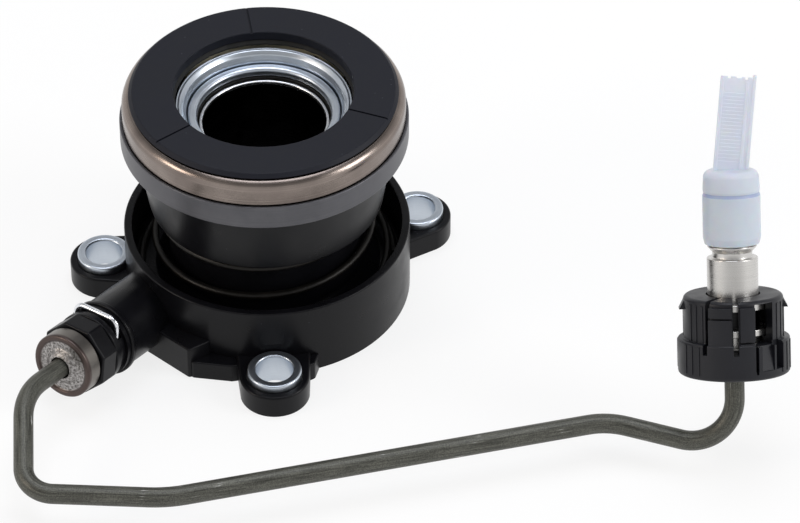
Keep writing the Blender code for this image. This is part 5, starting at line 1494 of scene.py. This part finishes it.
@dataclass
class QuickConnector:
    """Turned fitting, latch collar and cap at the far end of the pipe."""

    finishes: Finishes
    hole: float = 2.7
    bore: float = 1.5
    barrel: float = 6.0
    barrel_top: float = 27.5
    neck: float = 4.7
    neck_length: float = 1.3
    land: float = 5.8
    land_length: float = 1.6
    tip: float = 5.3
    tip_top: float = 42.7
    seal_z: float = 40.9
    seal: float = 0.55
    upper_flange: float = 9.0
    lower_flange: float = 9.1
    flange: float = 1.6
    lower_z: float = 9.7
    upper_z: float = 15.8
    tube_seat: float = 6.3
    body: float = 7.6
    body_low: float = 6.7
    root: float = 4.5
    collar_height: float = 18.7
    collar: float = 11.75
    band: float = 13.2
    band_height: float = 8.6
    collar_wall: float = 2.5
    top_lip: float = 1.0
    slot_foot: float = 6.2
    window_sill: float = 8.0
    window_top: float = 17.9
    recess_floor: float = 11.4
    recess_foot: float = 2.2
    recess_width: float = 6.4
    ramp_rise: float = 1.4
    ramp_width: float = 3.2
    ramp_turn: float = 35.0
    barb_rise: float = 1.0
    barb_width: float = 3.2
    barb_height: float = 2.7
    panel_rise: float = 1.15
    line_width: float = 0.45
    panel_foot: float = 0.9
    panel_drop: float = 1.3
    collar_rib: float = 0.9
    rib_rise: float = 0.15
    cap_wall: float = 0.7
    cap: float = 6.8
    cap_bottom: float = 30.7
    cap_length: float = 17.4
    cap_round: float = 1.6
    cap_band: float = 11.9
    cap_band_half: float = 0.45
    strap_width: float = 8.2
    strap_thickness: float = 0.7
    strap_length: float = 22.5
    strap_lean: float = 5.8
    strap_root: float = 0.6
    strap_rib: float = 0.7
    strap_rib_thickness: float = 1.15
    rung_pitch: float = 0.85
    rung_rise: float = 0.14

    # Panels of the collar's wall: both edges in degrees from the front, height of the line across, and how
    # far the wall above the line stands back
    PANELS = ((-30.5, -4.8, 14.6, 0.2), (4.0, 20.2, 8.9, 0.1))
    # Ribs of the collar, in degrees from the front
    RIBS = (-62.0, -52.0, -42.5, 57.5, 68.0, 80.0)
    # Tears in the strap's end: start and width as shares of half the strap, and depth
    TEARS = ((-0.62, 0.20, 0.5), (-0.12, 0.30, 0.35), (0.38, 0.16, 0.6))

    def build(self) -> None:
        """Build the three pieces."""
        f = self.finishes
        end = piece(
            "turned_end", self.fitting(), FITTING, f.turned, Body.CYLINDER, ["pipe_fitting"],
        )
        # Between the flanges the steel is painted darker, as shade where the collar shades it
        rim, top = self.barrel + 0.3, self.collar_height - self.top_lip
        dress_faces(end, f.painted_shade_steel, FITTING, lambda radius, height: radius < rim and height < top)
        latch = settled(self.latch(), FITTING)
        piece("latch_ring", latch, SHAFT_PLACE, f.latch_nylon, Body.CYLINDER, ["latch_collar"])
        mesh = settled(self.pull_cap(), FITTING)
        cap = piece("pull_cap", mesh, SHAFT_PLACE, f.milky, Body.CAP, ["protective_cap"])
        # A blue-grey band of painted shade on the wall, where the seal on the tip lies behind it
        band, half, tip = self.cap_bottom + self.cap_band, self.cap_band_half, self.tip
        dress_faces(
            cap, f.milky_seal_shade, FITTING, lambda radius, height: radius > tip and abs(height - band) < half,
        )

    def fitting(self) -> bpy.types.Mesh:
        """Turned end with two flanges, barrel, neck, land and seal groove."""
        neck_top = self.barrel_top + self.neck_length
        land_top = neck_top + self.land_length
        groove = self.tip - 2.0 * self.seal - 0.3
        half = self.seal + 0.3
        upper_top, lower_top = self.upper_z + self.flange, self.lower_z + self.flange
        section = rounded([
            (self.tip, self.tip_top, 0.9), (self.tip, self.seal_z + half), (groove, self.seal_z + half),
            (groove, self.seal_z - half), (self.tip, self.seal_z - half), (self.tip, land_top),
            (self.land, land_top, 0.2), (self.land, land_top - 0.4, 0.3), (self.neck, neck_top, 0.2),
            (self.neck, self.barrel_top, 0.2), (self.barrel, self.barrel_top, 0.3),
            (self.barrel, upper_top, 0.2), (self.upper_flange, upper_top, 0.2),
            (self.upper_flange, self.upper_z, 0.2), (self.barrel, self.upper_z, 0.2),
            (self.barrel, lower_top, 0.2), (self.lower_flange, lower_top, 0.2),
            (self.lower_flange, self.lower_z, 0.2), (self.body, self.lower_z),
            (self.body, self.body_low, 0.4), (self.root, self.body_low - 1.5, 0.4), (self.root, 0.3),
            (self.hole, 0.3), (self.hole, self.tube_seat), (self.bore, self.tube_seat),
            (self.bore, self.tip_top, 0.3),
        ], 3)
        return lathe("turned_end", section, Facets.MEDIUM)

    def latch(self) -> bpy.types.Mesh:
        """Black latch collar with slots, windows, ramps and barbs; its front is local -Y."""
        throat = self.body + 0.4
        cavity = self.collar - self.collar_wall
        ledge = self.lower_z - 0.3
        lip = self.collar_height - self.top_lip
        section = rounded([
            (self.barrel + 0.4, self.collar_height), (self.collar, self.collar_height, 1.0),
            (self.collar, self.band_height, 0.3), (self.band, self.band_height, 0.5), (self.band, 0.0, 0.9),
            (throat, 0.0, 0.3), (throat, ledge), (cavity, ledge), (cavity, lip), (self.barrel + 0.4, lip),
        ], 4)
        fusion = Fusion(lathe("latch ring", section, Facets.MEDIUM), FITTING)
        for side in range(2):
            turn = FITTING @ Matrix.Rotation(math.pi * side, 4, "Z")
            self.add_ribs(fusion, turn)
            self.cut_slots(fusion, turn)
        return fusion.result("latch_ring")

    def add_ribs(self, fusion: Fusion, turn: Matrix) -> None:
        """Join the raised panels, the ribs, the barb and the ramp of one side.

        Args:
            fusion: Collar in the making.
            turn: Axes of the side, with its front at -Y.
        """
        inner = self.collar - 0.5 * self.collar_wall
        top = self.collar_height - self.panel_drop
        for first, last, joint, step in self.PANELS:
            for low, high, rise in (
                (self.panel_foot, joint, self.panel_rise),
                (joint + self.line_width, top, self.panel_rise - step),
            ):
                outline = arc((0.0, 0.0), self.collar + rise, first - 90.0, last - 90.0, 9)
                outline += arc((0.0, 0.0), inner, last - 90.0, first - 90.0, 9)
                fusion.join(plate("panel", outline, low, high, 0.15), turn)
        half = 0.5 * self.collar_rib
        for degrees in self.RIBS:
            around = turn @ Matrix.Rotation(math.radians(degrees - 90.0), 4, "Z")
            for low, high, radius in (
                (self.band_height - 0.4, top, self.collar), (1.2, self.band_height - 0.6, self.band),
            ):
                fusion.join(block("rib", (inner, -half, low), (radius + self.rib_rise, half, high)), around)
        high = self.collar_height - 0.5
        low = high - self.barb_height
        barb = [
            (inner, high), (self.collar - 0.4, high), (self.collar + self.barb_rise, low), (inner, low),
        ]
        half = 0.5 * self.barb_width
        fusion.join(plate("barb", barb, -half, half), turn @ UPRIGHT)

    def cut_slots(self, fusion: Fusion, turn: Matrix) -> None:
        """Cut the slots, the window and the recess of one side, which leaves its ramp standing.

        Args:
            fusion: Collar in the making.
            turn: Axes of the side, with its front at -Y.
        """
        start, reach, over = self.barrel - 0.3, self.band + 4.0, self.collar_height + 4.0
        brim = self.band_height + 0.3
        gap = 0.5 * (self.recess_width - self.ramp_width)
        edge = 0.5 * (self.ramp_width + gap) * 180.0 / (math.pi * self.recess_floor)
        # Degrees from the front, width, inner radius, foot and top
        for degrees, width, inner, low, high in (
            (-34.0, 1.2, start, self.slot_foot, over),
            (-0.5, 1.3, start, self.slot_foot, over),
            (21.6, 0.6, start, 1.5, 0.9 * self.band_height),
            (34.5, 5.2, start, self.window_sill, self.window_top),
            (self.ramp_turn - edge - 1.5, 0.5 * gap, self.recess_floor, self.recess_foot, brim),
            (self.ramp_turn + edge + 4.0, 1.6 * gap, self.recess_floor, self.recess_foot, brim),
        ):
            mesh = block("slot", (inner, -0.5 * width, low), (reach, 0.5 * width, high))
            fusion.cut(mesh, turn @ Matrix.Rotation(math.radians(degrees - 90.0), 4, "Z"))
        # The ramp's face slopes from the band at its foot down to the recess at its head
        outer = self.band + 1.0
        foot = self.recess_floor + self.ramp_rise
        wedge = [
            (foot, self.recess_foot), (outer, self.recess_foot - 0.1), (outer, brim),
            (self.recess_floor + 0.1, brim),
        ]
        half = 0.5 * self.ramp_width + 0.2
        around = turn @ Matrix.Rotation(math.radians(self.ramp_turn - 90.0), 4, "Z")
        fusion.cut(plate("ramp face", wedge, -half, half), around @ UPRIGHT)

    def pull_cap(self) -> bpy.types.Mesh:
        """Thin cap with its pull strap."""
        top = self.cap_bottom + self.cap_length
        band = self.cap_bottom + self.cap_band
        inner = self.cap - self.cap_wall
        section = rounded([
            (0.0, top), (self.cap - 0.35, top, self.cap_round), (self.cap - 0.1, band + 0.8, 0.5),
            (self.cap - 0.3, band + 0.2, 0.3), (self.cap, band - 0.5, 0.3),
            (self.cap, self.cap_bottom + 1.6, 0.8), (self.cap - 0.35, self.cap_bottom, 0.25),
            (inner - 0.1, self.cap_bottom), (inner, band, 0.3), (inner - 0.4, band + 0.5, 0.3),
            (inner - 0.4, top - 1.2, 1.2), (0.0, top - 1.2),
        ], 5)
        fusion = Fusion(lathe("cap", section, Facets.MEDIUM), FITTING)
        self.add_strap(fusion, top)
        return fusion.result("pull_cap")

    def add_strap(self, fusion: Fusion, foot: float) -> None:
        """Join the strap, its ribs and the mould's ladder steps, and tear its upper end.

        Args:
            fusion: Cap in the making.
            foot: Height of the cap's top, where the strap stands.
        """
        raised = FITTING @ Matrix.Translation((0.0, 0.0, foot * MM))
        lean = raised @ Matrix.Rotation(math.radians(self.strap_lean), 4, "Y")
        half, thick, length = 0.5 * self.strap_width, 0.5 * self.strap_thickness, self.strap_length
        end = length - self.strap_root
        fusion.join(block("strap", (-half, -thick, -self.strap_root), (half, thick, end), 0.15), lean)
        rib, proud = self.strap_rib, 0.5 * self.strap_rib_thickness
        for x, high in (
            (-half - 0.05, length - 0.9), (half - 1.1 * rib, length), (0.42 * half, length - 1.6),
        ):
            fusion.join(block("rib", (x, -proud, -0.5), (x + 1.15 * rib, proud, high), 0.12), lean)
        proud = thick + self.rung_rise
        for i in range(int((0.86 * length - 2.0) / self.rung_pitch)):
            z = 1.6 + i * self.rung_pitch
            low, high = (-half + 0.3, -proud, z), (0.45 * half, proud, z + 0.42 * self.rung_pitch)
            fusion.join(block("rung", low, high), lean)
        for x, width, deep in self.TEARS:
            low, high = (x * half, -1.5, end - deep), ((x + width) * half, 1.5, length + 1.0)
            fusion.cut(block("tear", low, high), lean)


class InnerParts:
    """CAD nodes that are right as they are: seals, piston, washer, cage and balls."""

    def __init__(self, finishes: Finishes) -> None:
        """Keep the finishes."""
        self.finishes = finishes

    def build(self) -> None:
        """Dress each node."""
        f = self.finishes
        dressed = {
            "piston": f.piston, "centring_washer": f.spring, "ball_cage": f.cage,
            "piston_seal": f.rubber, "sleeve_o_ring": f.rubber, "base_seal": f.rubber,
            "connector_o_ring": f.rubber, "fitting_o_ring": f.rubber, "bearing_seal": f.rubber,
        }
        balls = [name for name in frame["nodes"] if name.startswith("ball_") and name[-1].isdigit()]
        dressed.update(dict.fromkeys(balls, f.ball))
        for name, finish in dressed.items():
            mesh = frame["nodes"][name].data
            mesh.materials.clear()
            mesh.materials.append(finish)
            LOG.info("%s: dressed", name)


@dataclass
class Studio:
    """Pale floor, soft lamps, and the camera at the photograph's angle."""

    target: tuple[float, float, float] = (32.82, 2.85, 3.23)
    distance: float = 1050.0
    elevation: float = 41.43
    lens: float = 189.0
    floor_size: float = 6.0
    floor_drop: float = 0.0001
    floor_colour: str = "f2f2f2"
    floor_white: float = 0.80
    ambient: float = 0.45
    ceiling: float = 0.28
    wall_top: float = 0.10
    ceiling_edge: float = 0.75

    LAMPS = (
        # name, place and size in metres, strength in watts, colour
        ("overhead", (0.0, 0.25, 1.3), 0.9, 8.5, "f4f7ff"),
        ("right", (1.1, -0.25, 0.75), 0.50, 7.0, "ffffff"),
        ("left", (-1.1, -0.35, 0.65), 0.40, 4.0, "fff1e2"),
    )

    def build(self) -> None:
        """Build floor, world, lamps and camera."""
        self.floor()
        self.world()
        for name, place, size, strength, colour in self.LAMPS:
            self.lamp(name, Vector(place), size, strength, colour)
        self.camera()
        bpy.context.scene.view_settings.view_transform = "Standard"

    @staticmethod
    def seen(tree: bpy.types.NodeTree) -> bpy.types.NodeSocket:
        """Value that is 1 for camera, glossy and transmission rays."""
        path = add(tree, "ShaderNodeLightPath").outputs
        direct = add(
            tree, "ShaderNodeMath", {0: path["Is Camera Ray"], 1: path["Is Glossy Ray"]}, operation="MAXIMUM",
        ).outputs[0]
        return add(
            tree, "ShaderNodeMath", {0: direct, 1: path["Is Transmission Ray"]}, operation="MAXIMUM",
        ).outputs[0]

    def floor(self) -> None:
        """Plain floor, nearly white to the eye, that keeps a faint shadow."""
        form = bmesh.new()
        bmesh.ops.create_grid(form, x_segments=1, y_segments=1, size=0.5 * self.floor_size)
        mesh = bpy.data.meshes.new("floor")
        form.to_mesh(mesh)
        form.free()
        floor = bpy.data.objects.new("floor", mesh)
        bpy.context.scene.collection.objects.link(floor)
        floor.location = (0.0, 0.0, -self.floor_drop)
        material, tree, shader = begin("Paper sweep", Roughness=0.9, Specular_IOR_Level=0.1)
        shader.inputs["Base Color"].default_value = linear(self.floor_colour)
        glow = add(
            tree, "ShaderNodeEmission", values={"Color": linear(WHITE), "Strength": 1.0},
        ).outputs[0]
        share = add(
            tree, "ShaderNodeMath", {0: self.seen(tree)}, {1: self.floor_white}, operation="MULTIPLY",
        ).outputs[0]
        mixed = add(tree, "ShaderNodeMixShader", {0: share, 1: shader.outputs[0], 2: glow}).outputs[0]
        tree.links.new(mixed, tree.nodes["Material Output"].inputs["Surface"])
        mesh.materials.append(material)

    def world(self) -> None:
        """White to the eye, dimmer as a light, and for metal a pale wall under a grey ceiling."""
        world = bpy.data.worlds.new("Soft white")
        bpy.context.scene.world = world
        world.use_nodes = True
        tree = world.node_tree
        direction = add(tree, "ShaderNodeTexCoord").outputs["Generated"]
        height = add(tree, "ShaderNodeSeparateXYZ", {0: direction}).outputs["Z"]
        wall = add(
            tree, "ShaderNodeMapRange", {"Value": height},
            {
                "From Min": self.wall_top, "From Max": self.ceiling_edge, "To Min": 1.0,
                "To Max": self.ceiling,
            },
        ).outputs["Result"]
        direct = add(tree, "ShaderNodeLightPath").outputs["Is Camera Ray"]
        shown = add(tree, "ShaderNodeMath", {0: wall, 1: direct}, operation="MAXIMUM").outputs[0]
        strength = add(
            tree, "ShaderNodeMapRange", {"Value": self.seen(tree), "To Max": shown}, {"To Min": self.ambient},
        ).outputs["Result"]
        background = tree.nodes["Background"]
        background.inputs["Color"].default_value = linear(WHITE)
        tree.links.new(strength, background.inputs["Strength"])

    def lamp(self, name: str, place: Vector, size: float, strength: float, colour: str) -> None:
        """Add a square lamp that looks at the object."""
        data = bpy.data.lights.new(name, "AREA")
        data.size = size
        data.energy = strength
        data.color = linear(colour)[:3]
        lamp = bpy.data.objects.new(name, data)
        bpy.context.scene.collection.objects.link(lamp)
        lamp.location = place
        lamp.rotation_euler = (-place).to_track_quat("-Z", "Y").to_euler()

    def camera(self) -> None:
        """Camera at the photograph's angle."""
        pitch = math.radians(self.elevation)
        ahead = Vector((0.0, math.cos(pitch), -math.sin(pitch)))
        data = bpy.data.cameras.new("camera")
        data.lens = self.lens
        data.sensor_width = 36.0
        data.clip_start, data.clip_end = 0.01, 20.0
        camera = bpy.data.objects.new("camera", data)
        bpy.context.scene.collection.objects.link(camera)
        camera.location = SHAFT + (Vector(self.target) - ahead * self.distance) * MM
        camera.rotation_euler = ahead.to_track_quat("-Z", "Y").to_euler()
        bpy.context.scene.camera = camera


def main() -> None:
    """Build the object's looks, then the studio round it."""
    logging.basicConfig(level=logging.INFO, format="%(name)s: %(message)s")
    Studio().build()
    finishes = Finishes()
    for assembly in (
        CupHousing(finishes), ReleaseBearing(finishes), PreloadSpring(finishes), PressurePort(finishes),
        PressurePipe(finishes), QuickConnector(finishes), InnerParts(finishes),
    ):
        assembly.build()


if __name__ == "__main__":
    main()
